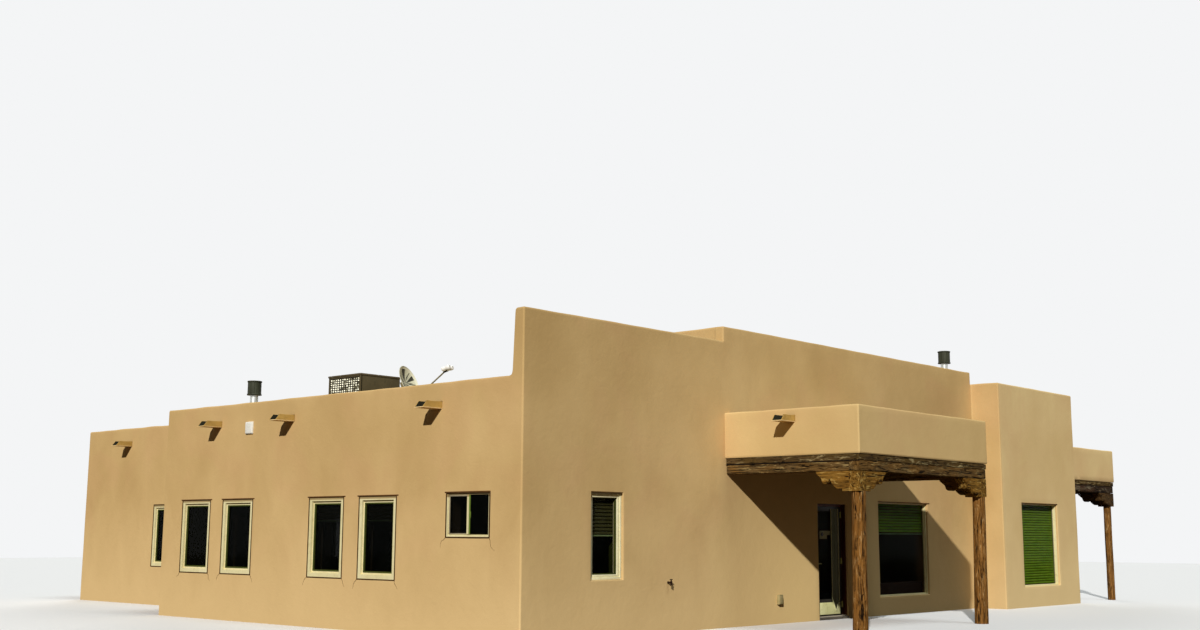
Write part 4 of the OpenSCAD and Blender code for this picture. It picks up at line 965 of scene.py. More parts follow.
# ---------------------------------------------------------------- windows
def glass_material(name, opacity):
    """Tinted pane: near black from outside, since little light comes back out of the room;
    dust dulls it in faint clouds."""
    coat = Coat(name, 0.04, ior=1.52, specular=0.012)
    dust = coat.noise(2.5, 4.0, 0.6)
    coat.set({"Roughness": coat.span(dust, 0.0, 1.0, 0.02, 0.09), "Alpha": opacity})
    return coat.finish(coat.lay("#020302", "#070806", dust, (0.45, 0.0), (0.75, 1.0)))


def vinyl_material(name, head_z):
    """Extruded vinyl, yellowed by the sun; the heads, which lie above head_z, are drawn a darker
    tan."""
    coat = Coat(name, 0.42)
    colour = coat.lay("#E2D6A6", "#D8CB97", coat.noise(2.0, 4.0, 0.6, stretch=(1, 1, 0.3)), *EVEN)
    # The heads above head_z are drawn a darker tan
    head = coat.span(coat.height(), head_z - 0.006, head_z + 0.006, 0.0, 0.92)
    colour = coat.mix(head, colour, "#9C8355")
    grime = coat.noise(10.0, 5.0, 0.7, distortion=0.5)
    colour = coat.lay(colour, "#A8935A", grime, (0.52, 0.0), (0.80, 0.5))
    return coat.finish(colour, grime, 0.0004, 0.6)


for side, head_z in (("left", 2.080), ("front", 2.290), ("rear", 2.080)):
    dress(f"{side}_window_frames", vinyl_material(f"{side}_extruded_vinyl", head_z), 0.0025)
# The left and rear panes are more opaque, so darker, than the front ones: painted shade that keeps
# the rooms behind them dark where the lamps shine in
for name, opacity in (("front_window_glass", 0.36), ("door_glass", 0.36),
                      ("left_window_glass", 0.70), ("rear_window_glass", 0.70)):
    dress(name, glass_material("tinted_float_" + name, opacity))

SIDE_RECESS, NARROW_RECESS, WIDE_RECESS, FRAME_D, BLIND_T = 0.004, 0.055, 0.045, 0.080, 0.030
SLAT_PITCH, SLAT_T, SLAT_CROWN, SLAT_TILT = 0.056, 0.0012, 0.0035, 0.010


def slats(u, width, top, drop, recess):
    """A blind drawn down by drop: crowned slats on two ladders under a head rail, drawn wider
    than 25 mm so that they show. A slat's section is a tilted crescent, carried along the
    width."""
    near = recess + FRAME_D + 0.003
    parts = [block((u - width / 2, near, top - 0.030), (u + width / 2, near + 0.024, top - 0.002))]
    bend, tall = np.linspace(-1, 1, 5), SLAT_PITCH * 0.38
    over, under = (np.column_stack([bend * SLAT_TILT,
                                    bend * tall + SLAT_CROWN * (1 - bend ** 2) + skin])
                   for skin in (SLAT_T, -SLAT_T))
    section = np.vstack([over, under[::-1]]) + [near + 0.012, 0]
    for z in np.arange(top - 0.050, top - drop + 0.030, -SLAT_PITCH):
        parts.append(prism(section + [0, z], u - width / 2 + 0.006, width - 0.012))
    for x in (u - width * 0.32, u + width * 0.32):
        parts.append(block((x - 0.003, near - 0.001, top - drop + 0.01),
                           (x + 0.003, near + 0.001, top - 0.01), 0.001, 2.0))
    return parts


def bottom_rail(u, width, top, drop, recess):
    """The rail at a blind's foot."""
    near = recess + FRAME_D + 0.003
    return blocks(0.004, ((u - width / 2 + 0.004, near, top - drop - 0.004),
                          (u + width / 2 - 0.004, near + 0.022, top - drop + 0.018)))


def slat_material(name, colours, dirt):
    """Enamelled aluminium slats: dull sheen, dust along the upper sides."""
    coat = Coat(name, 0.5)
    colour = coat.lay(*colours, coat.noise(4.0, 4.0, 0.6, stretch=(1, 1, 3)), *EVEN)
    up = coat.add("ShaderNodeSeparateXYZ",
                  {0: coat.add("ShaderNodeTexCoord").outputs["Normal"]}).outputs[2]
    return coat.finish(coat.lay(colour, dirt, up, (0.55, 0.0), (0.9, 0.5)))


pale_rail = paint("pale_enamelled_rail", ("#D4EC9C", "#C0D888"), "#6A6A4A", 0.5)
blinds = [((u, width - 0.02, sill + height - 0.005, drop, recess), place)
          for (u, width, sill, height), drop, recess, place in (
              ((LEFT_WINDOWS[0], *TALL), TALL_H * 0.30, SIDE_RECESS, on_left),
              ((LEFT_WINDOWS[1], *TALL), TALL_H * 0.30, SIDE_RECESS, on_left),
              (NARROW, NARROW[3] * 0.5, NARROW_RECESS, on_front),
              (PORCH_WINDOW, PORCH_WINDOW[3] * 0.34, WIDE_RECESS, on_front),
              (BLOCK_WINDOW, BLOCK_WINDOW[3] - 0.02, WIDE_RECESS, on_block))]
for name, chosen, shape, finish in (
        ("olive_blinds", blinds[:3], slats,
         slat_material("olive_enamelled_slats", ("#6E6A38", "#5A562C"), "#706C46")),
        ("green_blinds", blinds[3:], slats,
         slat_material("green_enamelled_slats", ("#BCE834", "#98CC22"), "#C0DC70")),
        ("blind_bottom_rails", blinds[:4], bottom_rail, pale_rail)):
    make_piece(name, [part for size, place in chosen for part in put(shape(*size), place)], finish,
               "blind_green", "window_blinds", smooth=30.0 if shape is bottom_rail else 40)

CLOTH_Y, CLOTH_SPAN, CLOTH_HALF_T = LEFT_WINDOWS[3], 0.86, 0.0008
CLOTH_TOP, CLOTH_FOOT = TALL_SILL + TALL_H - 0.030, TALL_SILL + 0.020
cloth_depth = SIDE_RECESS + FRAME_D + BLIND_T / 2


def curtain():
    """A curtain hung from a rod: its folds are sine waves that deepen and drift downwards.
    Returns its part and the length along its folds at the top."""
    across, down = np.meshgrid(np.linspace(0, 1, 121), np.linspace(0, 1, 40), indexing="ij")
    swing = 0.0045 + 0.0030 * down
    phase = 2 * np.pi * (8.3 * across + 0.12 * np.sin(3 * across + 2.2 * down))
    depth = cloth_depth + swing * (np.sin(phase) + 0.3 * np.sin(2.3 * phase))
    along = CLOTH_Y - CLOTH_SPAN / 2 + CLOTH_SPAN * across
    front, rear = (np.stack([depth + skin, along, CLOTH_TOP + (CLOTH_FOOT - CLOTH_TOP) * down], -1)
                   for skin in (-CLOTH_HALF_T, CLOTH_HALF_T))
    length = np.linalg.norm(np.diff(front[:, 0], axis=0), axis=1).sum()
    return two_skins(front, rear), float(length)


def cloth_material(name, colours):
    """Plain woven curtain cloth: threads 1 mm apart, drawn 5 mm apart so that they show."""
    coat = Coat(name, 0.9, specular=0.2)
    weave = coat.add("ShaderNodeTexWave", {"Vector": coat.where, "Scale": 60.0, "Distortion": 1.5},
                     bands_direction="Z").outputs["Fac"]
    coat.set({"Sheen Weight": 0.2})
    colour = coat.mix(0.12, coat.mix(coat.noise(3.0), *colours), weave, "MULTIPLY")
    return coat.finish(colour, weave, 0.0006, 0.5)


cloth, cloth_w = curtain()
rod = tube([(cloth_depth, CLOTH_Y + t * 0.455, TALL_SILL + TALL_H - 0.022)
            for t in np.linspace(-1, 1, 9)], 0.009)
make_piece("curtain_rod", [rod], pale_rail, "blind_green", "window_blinds")
curtain_piece = make_piece("hung_curtain", [cloth],
                           cloth_material("woven_curtain_cloth", ("#5A5636", "#6C6844")),
                           "blind_green", "window_blinds", smooth=80)

# Dark inside: a board behind the porch window's foot, and a near-black ceiling held in the walls
# that is painted shade for the unlit rooms
px, pw, pz, _ = PORCH_WINDOW
make_piece("inner_sill_board", blocks(0.005, ((px - pw / 2 + 0.01, 0.160, pz + 0.002),
                                              (px + pw / 2 - 0.01, 0.185, pz + 0.260))),
           paint("stained_inner_board", ("#3C2A20", "#4A3428"), "#241812", 0.6), "beam_wood")
held = WALL_T - 0.010
make_piece("room_ceiling", blocks(0.004, ((held, held, 2.640),
                                          (HOUSE_W - held, BACK_Y - held, 2.660))),
           paint("painted_shade_room_ceiling", ("#17110A", "#20180E"), "#0E0A06", 0.8, 1.0),
           "beam_wood")


def head_shadow_line(window, left, right):
    """Dark strip over a window's head that is a painted shadow line, longer than the frame by left
    and right.
    """
    u, width, sill, height = window
    top = sill + height
    return blocks(0.004, ((u - width / 2 - right, -0.007, top - 0.005),
                          (u + width / 2 + left, 0.010, top + 0.013)))


def strips_round(u, width, low, high, near, far, face):
    """Four strips round a rectangle of a wall, each face wide, from its outer edge inwards."""
    left, right, lap = u - width / 2, u + width / 2, face - 0.001
    return blocks(0.003, ((left, near, low), (left + face, far, high)),
                  ((right - face, near, low), (right, far, high)),
                  ((left + lap, near, low), (right - lap, far, low + face)),
                  ((left + lap, near, high - face), (right - lap, far, high)))


# Painted shadow: dark strips over the window heads stand for the shadow lines there
heads = [part for y in LEFT_WINDOWS for part in put(head_shadow_line((y, *TALL), 0.050, 0.050), on_left)]
heads += (put(head_shadow_line(SLIDER, 0.040, 0.010), on_left)
          + put(head_shadow_line(PORCH_WINDOW, 0.085, 0.010), on_front)
          + put(head_shadow_line(BLOCK_WINDOW, 0.020, 0.010), on_block))
make_piece("window_head_shadows", heads,
           paint("painted_head_shadow", ("#5E3C18", "#4A2E12"), "#261608", 0.8, 12.0), "spout_board")

# Dark green gaskets round the panes, which are also painted shade on the sashes' inner sides,
# and dark joints between frames and stucco, which are also painted shadow lines round the frames
TALL_HEAD = TALL_SILL + TALL_H
JOINT_D = (-0.006, 0.012)
gasket_and_shade_strips, joint_and_shadow_lines = [], []
for y, x in (*((y, 0.0) for y in LEFT_WINDOWS), (WING_WINDOW, WING_X0)):
    gasket_and_shade_strips += put(strips_round(y, TALL_W - 0.192, TALL_SILL + 0.096, TALL_HEAD - 0.104, 0.036,
                                0.062, 0.022), facing_left(x))
    joint_and_shadow_lines += put(strips_round(y, TALL_W + 0.028, TALL_SILL - 0.016, TALL_HEAD + 0.006, *JOINT_D,
                               0.018), facing_left(x))
su, sw, sz, sh = SLIDER
joint_and_shadow_lines += put(strips_round(su, sw + 0.028, sz - 0.020, sz + sh + 0.006, *JOINT_D, 0.020), on_left)
nx, nw, nz, nh = NARROW
n_top = nz + nh
# Over the narrow window's head the dark strip is a painted shadow
joint_and_shadow_lines.append(block((nx - nw / 2 + 0.002, 0.002, n_top - 0.013),
                    (nx + nw / 2 - 0.022, 0.034, n_top - 0.001)))
# The slider's screen frame over its far pane, and the near pane's green edge with its latch
screen_u0, screen_u1 = su + 0.020, su + sw / 2 - 0.036
screen_z0, screen_z1 = sz + 0.036, sz + sh - 0.040
SCREEN_D, LATCH_D = (0.020, 0.032), (0.006, 0.0135)
screen = blocks(0.003, *(((u0, SCREEN_D[0], z0), (u1, SCREEN_D[1], z1)) for u0, z0, u1, z1 in (
    (screen_u0, sz + sh - 0.060, screen_u1, sz + sh - 0.038),
    (su + sw / 2 - 0.060, screen_z0, su + sw / 2 - 0.038, screen_z1),
    (screen_u0, screen_z0, screen_u1, sz + 0.052), (screen_u0, screen_z0, su + 0.036, screen_z1))))
latch = (blocks(0.003, ((su - 0.050, LATCH_D[0], sz + 0.040),
                        (su - 0.024, LATCH_D[1], sz + sh - 0.042)))
         + blocks(0.004, ((su - 0.062, 0.004, sz + sh * 0.42),
                          (su - 0.030, LATCH_D[1], sz + sh * 0.56))))
for name, parts, finish, slot in (
        ("glazing_gasket_and_shade_strips", gasket_and_shade_strips,
         paint("green_rubber_and_painted_shade", ("#3E4418", "#4A501E"), "#2A2A12", 0.8, 20.0),
         "window_frame_cream"),
        ("window_joint_and_shadow_lines", joint_and_shadow_lines,
         paint("joint_and_painted_shadow", ("#4E3618", "#3E2A12"), "#241708", 0.9, 9.0), "stucco"),
        ("narrow_window_trim",
         strips_round(nx, nw - 0.004, nz + 0.002, n_top - 0.002, 0.040, 0.057, 0.038)
         + strips_round(nx, nw - 0.092, nz + 0.046, n_top - 0.046, 0.054, 0.096, 0.034),
         paint("pale_coated_vinyl", ("#E6DDB4", "#DCD2A6"), "#A08C5C", 0.4, 8.0),
         "window_frame_cream"),
        # Dark olive linings round the narrow window's inner step and inner reveal: painted shade
        # that keeps the inside dark
        ("narrow_window_shade_lining",
         strips_round(nx, nw - 0.164, nz + 0.082, n_top - 0.082, 0.078, 0.118, 0.015)
         + strips_round(nx, nw, nz, n_top, 0.172, WALL_T - 0.004, 0.010),
         paint("olive_lining_painted_shade", ("#3C4010", "#2E310C"), "#1A1A08", 0.7, 6.0), "beam_wood"),
        ("slider_screen_frame", put(screen, on_left),
         paint("anodised_screen_frame", ("#857A60", "#978B6E"), "#4A4230", 0.5, 10.0),
         "window_frame_cream"),
        ("slider_inner_edge", put(latch, on_left),
         paint("green_coated_sash_edge", ("#5C7024", "#6C8030"), "#343E18", 0.5, 10.0),
         "window_frame_cream")):
    make_piece(name, parts, finish, slot)


def crack(start, way, seed):
    """A hairline crack: a thin ribbon whose path jogs by seeded steps and thins to its end."""
    draws = np.random.default_rng(seed)
    t = np.linspace(0, 1, 14)
    way = np.array(way)
    across = np.array([-way[1], way[0]]) / np.linalg.norm(way)
    jog = np.cumsum(draws.uniform(-0.012, 0.012, t.size)) * np.sin(np.pi * t)
    middle = np.array(start) + way * t[:, None] + across * jog[:, None]
    half = 0.0035 * (1 - t[:, None]) + 0.0006
    ring = [np.column_stack([middle + across * half * side, np.full(t.size, depth)])[:, [0, 2, 1]]
            for side, depth in ((-1, -0.001), (1, -0.001), (1, 0.008), (-1, 0.008))]
    return np.stack(ring, 1).reshape(-1, 3), capped(t.size, 4)


cracks = []
for number, y in enumerate(LEFT_WINDOWS):
    cracks += [crack((y + TALL_W / 2, TALL_SILL), (0.11, -0.16 + 0.02 * number), 40 + number),
               crack((y - TALL_W / 2, TALL_SILL), (-0.09, -0.14), 50 + number)]
cracks += [crack((su + sw / 2, sz), (0.12, -0.17), 61),
           crack((su - sw / 2, sz), (-0.12, -0.20), 62)]
make_piece("stucco_cracks", put(cracks, on_left),
           paint("shadowed_crack", ("#6E5026", "#5E431E"), "#3A2810", 0.95, 20.0), "stucco")

# ---------------------------------------------------------------- door
JAMB_W, LEAF_GAP, STILE_W, KICK_H, LEAF_T, STRIP_W, DOOR_RECESS = (
    0.048, 0.007, 0.085, 0.300, 0.045, 0.240, 0.115)
leaf_x, leaf_z = DOOR_X - DOOR_W / 2 + JAMB_W + LEAF_GAP, 0.065
leaf_w, leaf_h = DOOR_W - 2 * JAMB_W - 2 * LEAF_GAP, DOOR_TOP - JAMB_W - LEAF_GAP - leaf_z
rail_w = leaf_w - STILE_W


def jamb_material():
    """Stained and varnished softwood, dark red-brown, worn to pale wood on the threshold."""
    coat = Coat("stained_varnished_jamb", 0.45)
    streaks = coat.noise(14.0, 5.0, 0.6, stretch=(1, 1, 0.08))
    colour = coat.lay("#34160B", "#5A2A14", streaks, *EVEN)
    tread = coat.mix(coat.noise(8.0), "#A89C88", "#C8BCA4")
    colour = coat.mix(coat.span(coat.height(), 0.058, 0.072, 1.0, 0.0), colour, tread)
    return coat.finish(colour, streaks, 0.001, 0.5)


stained = jamb_material()
dress("door_frame", stained, 0.003)
casing_d = (0.040, DOOR_RECESS - 0.001)
edge_l, edge_r = DOOR_X - DOOR_W / 2, DOOR_X + DOOR_W / 2
make_piece("door_casing", blocks(0.003, *(
    ((x0, casing_d[0], z0), (x1, casing_d[1], z1)) for x0, z0, x1, z1 in (
        (edge_l - 0.002, 0.0, edge_l + 0.014, DOOR_TOP),
        (edge_r - 0.014, 0.0, edge_r + 0.002, DOOR_TOP),
        (edge_l + 0.012, DOOR_TOP - 0.014, edge_r - 0.012, DOOR_TOP + 0.002)))),
    stained, "door_frame_brown")


def door_strip():
    """The long strip down the hinge side, a painted reflection of the porch post in the glass whose
    point over the kick panel is a painted shadow: a shallow bulge between its edges that narrows
    to that point, with two soft upright folds. Returns it and its pale edges, which are painted
    highlights."""
    point = STRIP_W * 0.9
    centre, foot, top = rail_w - STRIP_W / 2 - 0.010, KICK_H * 0.28, leaf_h - STILE_W * 0.4
    heights = np.concatenate([np.linspace(foot, foot + point, 10),
                              np.linspace(foot + point, top, 50)[1:]])
    z, u = np.meshgrid(heights, np.linspace(-1, 1, 25), indexing="ij")
    half = STRIP_W / 2 * np.clip((z - foot) / point, 0.02, 1)
    bulge = 0.010 * (1 - u ** 2) ** 0.5 + 0.003 * np.cos(u * 7.5) * (1 - u ** 2)
    front = np.stack([centre + u * half, -0.003 - bulge, z], -1)
    back = np.stack([centre + u * half, np.full(u.shape, 0.014), z], -1)
    line = [(0.004, foot), *((STRIP_W / 2, h) for h in np.linspace(foot + point, top, 24))]
    edges = [tube([(centre + side * w, -0.008, h) for w, h in line], 0.009) for side in (-1, 1)]
    return two_skins(front, back), edges


leaf_paint = paint("painted_steel_leaf", ("#1C180E", "#241E12"), "#0E0B06", 0.45, 3.0,
                   stretch=(1, 1, 0.4))
strip, strip_edges = door_strip()
plate_d = (LEAF_T / 2 - 0.004, LEAF_T / 2 + 0.001)
knob, knob_faces = lathe([(0.030, 0.0), (0.036, 0.006), (0.030, 0.012), (TINY, 0.013)])
knob = np.stack([knob[:, 0] + 0.270, LEAF_T / 2 - 0.003 - knob[:, 2], knob[:, 1] + 1.490], -1)
# Parts of the leaf, given from its lower left corner
for name, parts, finish, slot, replaced, smooth in (
        ("door_stiles_and_rails", blocks(
            0.003, ((0, 0, 0), (STILE_W, LEAF_T, leaf_h)),
            ((rail_w, 0, 0), (leaf_w, LEAF_T, leaf_h)),
            ((STILE_W - 0.004, 0, leaf_h - STILE_W), (rail_w + 0.004, LEAF_T, leaf_h)),
            ((STILE_W - 0.004, 0.004, 0), (rail_w + 0.004, LEAF_T, KICK_H))), leaf_paint,
         "door_leaf_brown", ["door_leaf"], 30),
        # The pale kick panel is drawn paler still: painted sunlight
        ("door_kick_panel", blocks(0.003, ((STILE_W * 0.75, -0.001, 0.022),
                                           (leaf_w - STILE_W * 0.75, 0.006, KICK_H - 0.060))),
         paint("pale_panel_painted_sunlight", ("#ECE8AC", "#DEDA96"), "#A8A068", 0.55, 2.0),
         "door_leaf_brown", ["door_leaf"], 30),
        # The strip and its pale edges are a painted reflection of the porch post, with a painted
        # shadow at the point
        ("door_strip", [strip],
         paint("painted_post_reflection", ("#4C4A30", "#5A583A"), "#2A2816", 0.6, 5.0, stretch=(1, 1, 0.2)),
         "door_leaf_brown", ["door_leaf"], 60),
        ("door_strip_edges", strip_edges,
         paint("painted_reflection_edge", ("#C8C494", "#DAD6A8"), "#8A8654", 0.6, 6.0),
         "door_leaf_brown", ["door_leaf"], 60),
        ("blank_door_plate", blocks(
            0.002, ((0.195, plate_d[0], 1.405), (0.440, plate_d[1], 1.555)),
            ((0.430, plate_d[0], 1.475), (0.560, plate_d[1], 1.555))),
         paint("sun_bleached_card", ("#A8A888", "#B8B898"), "#6C6C50", 0.8, 6.0),
         "door_leaf_brown", [], 30),
        ("door_plate_knob", [(knob, knob_faces)], leaf_paint, "door_metal", [], 30)):
    make_piece(name, put(parts, [leaf_x, DOOR_RECESS, leaf_z]), finish, slot, *replaced, body=DOOR,
               smooth=smooth)
dress("door_hardware", paint("tarnished_brass", ("#7C7440", "#6A6236"), "#2C2814", 0.4, 20.0,
                             metallic=0.9), 0.001)

# ---------------------------------------------------------------- roof spouts
SPOUT_LIP, SPOUT_CUT, BOARD, LINING = -0.390, 0.095, 0.014, 0.0025
slope = SPOUT_CUT / SPOUT_H


def spout_floor(y, z):
    """Floor board of a spout, its end cut on the slope."""
    inner, lip = PARAPET_T - 0.002, SPOUT_LIP
    return [prism([(inner, z), (lip, z), (lip + slope * BOARD, z + BOARD), (inner, z + BOARD)], y,
                  SPOUT_W)]


def spout_cheeks(y, z):
    """Two cheeks of a spout; a cheek's end slopes back to its top, which sags a little."""
    inner, lip, low, high = PARAPET_T - 0.002, SPOUT_LIP, z + BOARD - 0.002, z + SPOUT_H
    outline = [(inner, low), *((d, low + 0.0008 * math.sin(40 * d))
                               for d in np.linspace(-0.05, lip + 0.06, 5)),
               (lip + slope * BOARD, low), (lip + SPOUT_CUT, high),
               *((d, high - 0.002 - 0.002 * math.sin(25 * d))
                 for d in np.linspace(-0.26, -0.05, 5)),
               (inner, high)]
    return [prism(outline, y + edge, BOARD) for edge in (0.0, SPOUT_W - BOARD)]


def spout_lining(y, z):
    """Sheet-metal lining folded up the cheeks, standing 4 mm out of the boards' cut end."""
    inner, lip = PARAPET_T - 0.004, SPOUT_LIP + 0.012
    low, high = z + BOARD, z + SPOUT_H - 0.004
    outline = [(inner, low + LINING), (lip + slope * BOARD - 0.006, low + LINING),
               (lip + slope * (high - z) - 0.016, high), (inner, high)]
    return [prism([(inner, low), (lip + 0.006, low), (lip + 0.010, low + LINING),
                   (inner, low + LINING)], y + BOARD, SPOUT_W - 2 * BOARD),
            *(prism(outline, y + edge, LINING) for edge in (BOARD, SPOUT_W - BOARD - LINING))]


spouts = [*((y, SPOUT_Z, 0.0) for y in SPOUTS_LEFT), (SPOUT_WING, SPOUT_Z, WING_X0),
          (SPOUT_PORCH, SPOUT_PORCH_Z, PORCH_X0)]
for name, shape, finish in (
        ("spout_cheeks", spout_cheeks,
         paint("oiled_spout_board", ("#BC9750", "#A48142"), "#5C4824", 0.8, 6.0,
               stretch=(0.4, 1, 1), bumps=0.002)),
        # The floor boards are drawn paler than the cheeks: a painted highlight along their edges
        ("spout_floors", spout_floor,
         paint("painted_highlight_floor_board", ("#E0C08A", "#CDA96C"), "#7A5A30", 0.85, 6.0,
               stretch=(0.4, 1, 1), bumps=0.002)),
        ("spout_linings", spout_lining,
         paint("weathered_sheet_lining", ("#26241A", "#343224"), "#12110B", 0.6, 8.0))):
    parts = [part for y, z, x in spouts for part in put(shape(y, z), facing_left(x))]
    piece = make_piece(name, parts, finish, "spout_board", "roof_spouts")
    if shape is not spout_lining:
        bevel(piece, 0.003, 30)

# ---------------------------------------------------------------- rooftop unit
UNIT_W, UNIT_D, UNIT_H, CURB_H, LID_T, LID_OVER = 1.000, 1.020, 1.006, 0.200, 0.040, 0.014
POST, SKIN, WIRE_X = 0.045, 0.020, 0.012
cab_top = CURB_H + UNIT_H - LID_T
cabinet = blocks(
    0.004, ((0.06, 0.06, 0), (UNIT_W - 0.06, UNIT_D - 0.06, CURB_H + 0.002)),
    ((SKIN, 0, CURB_H), (UNIT_W, SKIN, cab_top)),
    ((SKIN, UNIT_D - SKIN, CURB_H), (UNIT_W, UNIT_D, cab_top)),
    ((UNIT_W - SKIN, SKIN / 2, CURB_H), (UNIT_W, UNIT_D - SKIN / 2, cab_top)),
    ((0, 0, CURB_H), (POST, POST, cab_top)), ((0, UNIT_D - POST, CURB_H), (POST, UNIT_D, cab_top)),
    ((0, POST / 2, CURB_H), (POST, UNIT_D - POST / 2, CURB_H + POST)),
    ((0, POST / 2, cab_top - 0.022), (POST, UNIT_D - POST / 2, cab_top)),
    ((0.01, 0.01, CURB_H - 0.02), (UNIT_W - 0.01, UNIT_D - 0.01, CURB_H + 0.01)))
cabinet += blocks(0.003, ((0.58, -0.006, CURB_H + 0.58), (0.605, 0.004, CURB_H + 0.605)))


def coil():
    """The coil behind its guard: a zigzag sheet of upright fins."""
    y = np.linspace(POST - 0.005, UNIT_D - POST + 0.005, 181)
    x = 0.018 + 0.006 * (np.arange(y.size) % 2)
    z = np.linspace(CURB_H + POST - 0.005, cab_top - 0.018, 5)
    front = np.stack([*(np.repeat(v[:, None], z.size, 1) for v in (x, y)),
                      np.repeat(z[None], y.size, 0)], -1)
    return two_skins(front, front + [0.02, 0, 0])


def coil_material():
    """Aluminium fins, dark with dust, with pale crushed and cleaned patches."""
    coat = Coat("dusty_aluminium_fins", 0.5, 0.4)
    patches = coat.noise(14.0, 3.0, 0.6, stretch=(1, 1, 1.6))
    colour = coat.ramp(patches, (0.40, "#14110A"), (0.45, "#B0A880"), (0.50, "#FAF6DE"))
    return coat.finish(colour, patches, 0.004, 0.6)


wires = [tube([(WIRE_X, y, z) for z in np.linspace(CURB_H + 0.03, cab_top - 0.01, 5)], 0.010, 6)
         for y in np.linspace(POST, UNIT_D - POST, 14)]
wires += [tube([(WIRE_X, y, z) for y in np.linspace(0.03, UNIT_D - 0.03, 5)], 0.007, 6)
          for z in np.linspace(CURB_H + POST, cab_top - 0.030, 21)]
for name, parts, finish, smooth in (
        ("unit_cabinet", cabinet, paint("baked_enamel_cabinet", ("#463D28", "#50462F"), "#2A2416",
                                        0.55, 2.5, stretch=(1, 1, 0.5)), 30),
        ("unit_lid", blocks(0.012, ((-LID_OVER, -LID_OVER, cab_top),
                                    (UNIT_W + LID_OVER, UNIT_D + LID_OVER, cab_top + LID_T))),
         paint("baked_enamel_lid", ("#4C422D", "#574C36"), "#32291B", 0.55, 2.5), 30),
        ("unit_coil", [coil()], coil_material(), 10),
        ("unit_wire_guard", wires,
         paint("enamelled_bar_guard", ("#1E1A11", "#2A2418"), "#4C4430", 0.5, 12.0), 60)):
    make_piece(name, put(parts, [2.800, 7.360, LOW_DECK]), finish, "unit_paint", "rooftop_unit",
               smooth=smooth)

# ---------------------------------------------------------------- vents
PIPE_R, CAP_R, CAP_H = 0.079, 0.142, 0.285
pipes, caps = [], []
for place, tall in (((1.440, BACK_Y - 0.690, LOW_DECK), 1.040),
                    ((GREAT_X + 0.425, 0.850, BLOCK_DECK), 1.240)):
    base, r = tall - CAP_H, CAP_R - 0.010
    pipes += put([lathe([(PIPE_R + 0.03, 0.0), (PIPE_R, 0.05), (PIPE_R, base / 2),
                         (PIPE_R + 0.002, base / 2 + 0.01), (PIPE_R + 0.002, base / 2 + 0.03),
                         (PIPE_R, base / 2 + 0.04), (PIPE_R, base + 0.01)])], place)
    ribbed = lathe([(r, 0.004), (r + 0.001, 0.03), (r, 0.25), (TINY, 0.27)], 96,
                   lambda angle: 1 + 0.035 * np.abs(np.sin(9 * angle)) ** 0.5 - 0.035)
    band = lathe([(CAP_R - 0.003, 0.0), (CAP_R, 0.003), (CAP_R, 0.022), (CAP_R - 0.004, 0.026),
                  (CAP_R * 0.6, 0.0285), (TINY, 0.030)], 64)
    caps += [part for shape, low in ((ribbed, 0.0), (band, 0.0), (band, CAP_H - 0.030))
             for part in put([shape], np.array(place) + [0, 0, base + low])]
galvanised = paint("spangled_galvanised_steel", ("#B9BBB4", "#D5D7D0"), "#8A8A7C", 0.35, 14.0,
                   metallic=0.85)
make_piece("vent_pipes", pipes, galvanised, "vent_metal", "vent_stacks", smooth=50)
oxidised = paint("oxidised_cap_metal", ("#2E2F22", "#3E4032"), "#15160F", 0.5, 9.0, metallic=0.2,
                 stretch=(1, 1, 0.3))
make_piece("vent_caps", caps, oxidised, "vent_metal", "vent_stacks", smooth=50)

# ---------------------------------------------------------------- dish
DISH_R, DISH_BOWL, DISH_RISE, FEED_OUT, FEED_LOW, ARM_LOW = 0.300, 0.085, 0.712, 0.740, 0.120, 0.370
DISH_X, DISH_Y, DISH_TILT, DISH_SWING = 1.500, 4.330, math.radians(23), math.radians(-69)
HORN_SIZE = 1.3
hub = DISH_BOWL + 0.040


def about(axis, angle):
    """The matrix that turns by an angle about the Y or the Z axis."""
    turn, (first, second) = np.eye(3), {"Y": (2, 0), "Z": (0, 1)}[axis]
    turn[first, first] = turn[second, second] = math.cos(angle)
    turn[first, second], turn[second, first] = -math.sin(angle), math.sin(angle)
    return turn


dish_axes = about("Z", DISH_SWING) @ about("Y", math.radians(90) - DISH_TILT)


def on_dish(points):
    """Moves points, given from the dish's middle with its axis upright, where the dish looks."""
    return points @ dish_axes.T + [DISH_X, DISH_Y, LOW_DECK + DISH_RISE]


def bowl(r):
    """Depth of the paraboloid at a radius."""
    return DISH_BOWL * ((r / DISH_R) ** 2 - 1)


def pressed_steel(name, colours, streak_and_shadow):
    """Pressed, powder-coated steel with dark streaks that run from the bowl's middle to its rim:
    near-black painted shadows on the face and a faint darker tone on the back. The pattern reads
    the direction and a third of the radius from the grain field."""
    coat = Coat(name, 0.55)
    colour = coat.mix(coat.noise(5.0, 3.0, 0.6), *colours)
    runs = coat.noise(2.6, 3.0, 0.6, distortion=0.3, where=coat.field("grain").outputs["Vector"])
    return coat.finish(coat.lay(colour, streak_and_shadow, runs, (0.50, 0.0), (0.54, 0.95)), runs, 0.0015, 0.7)


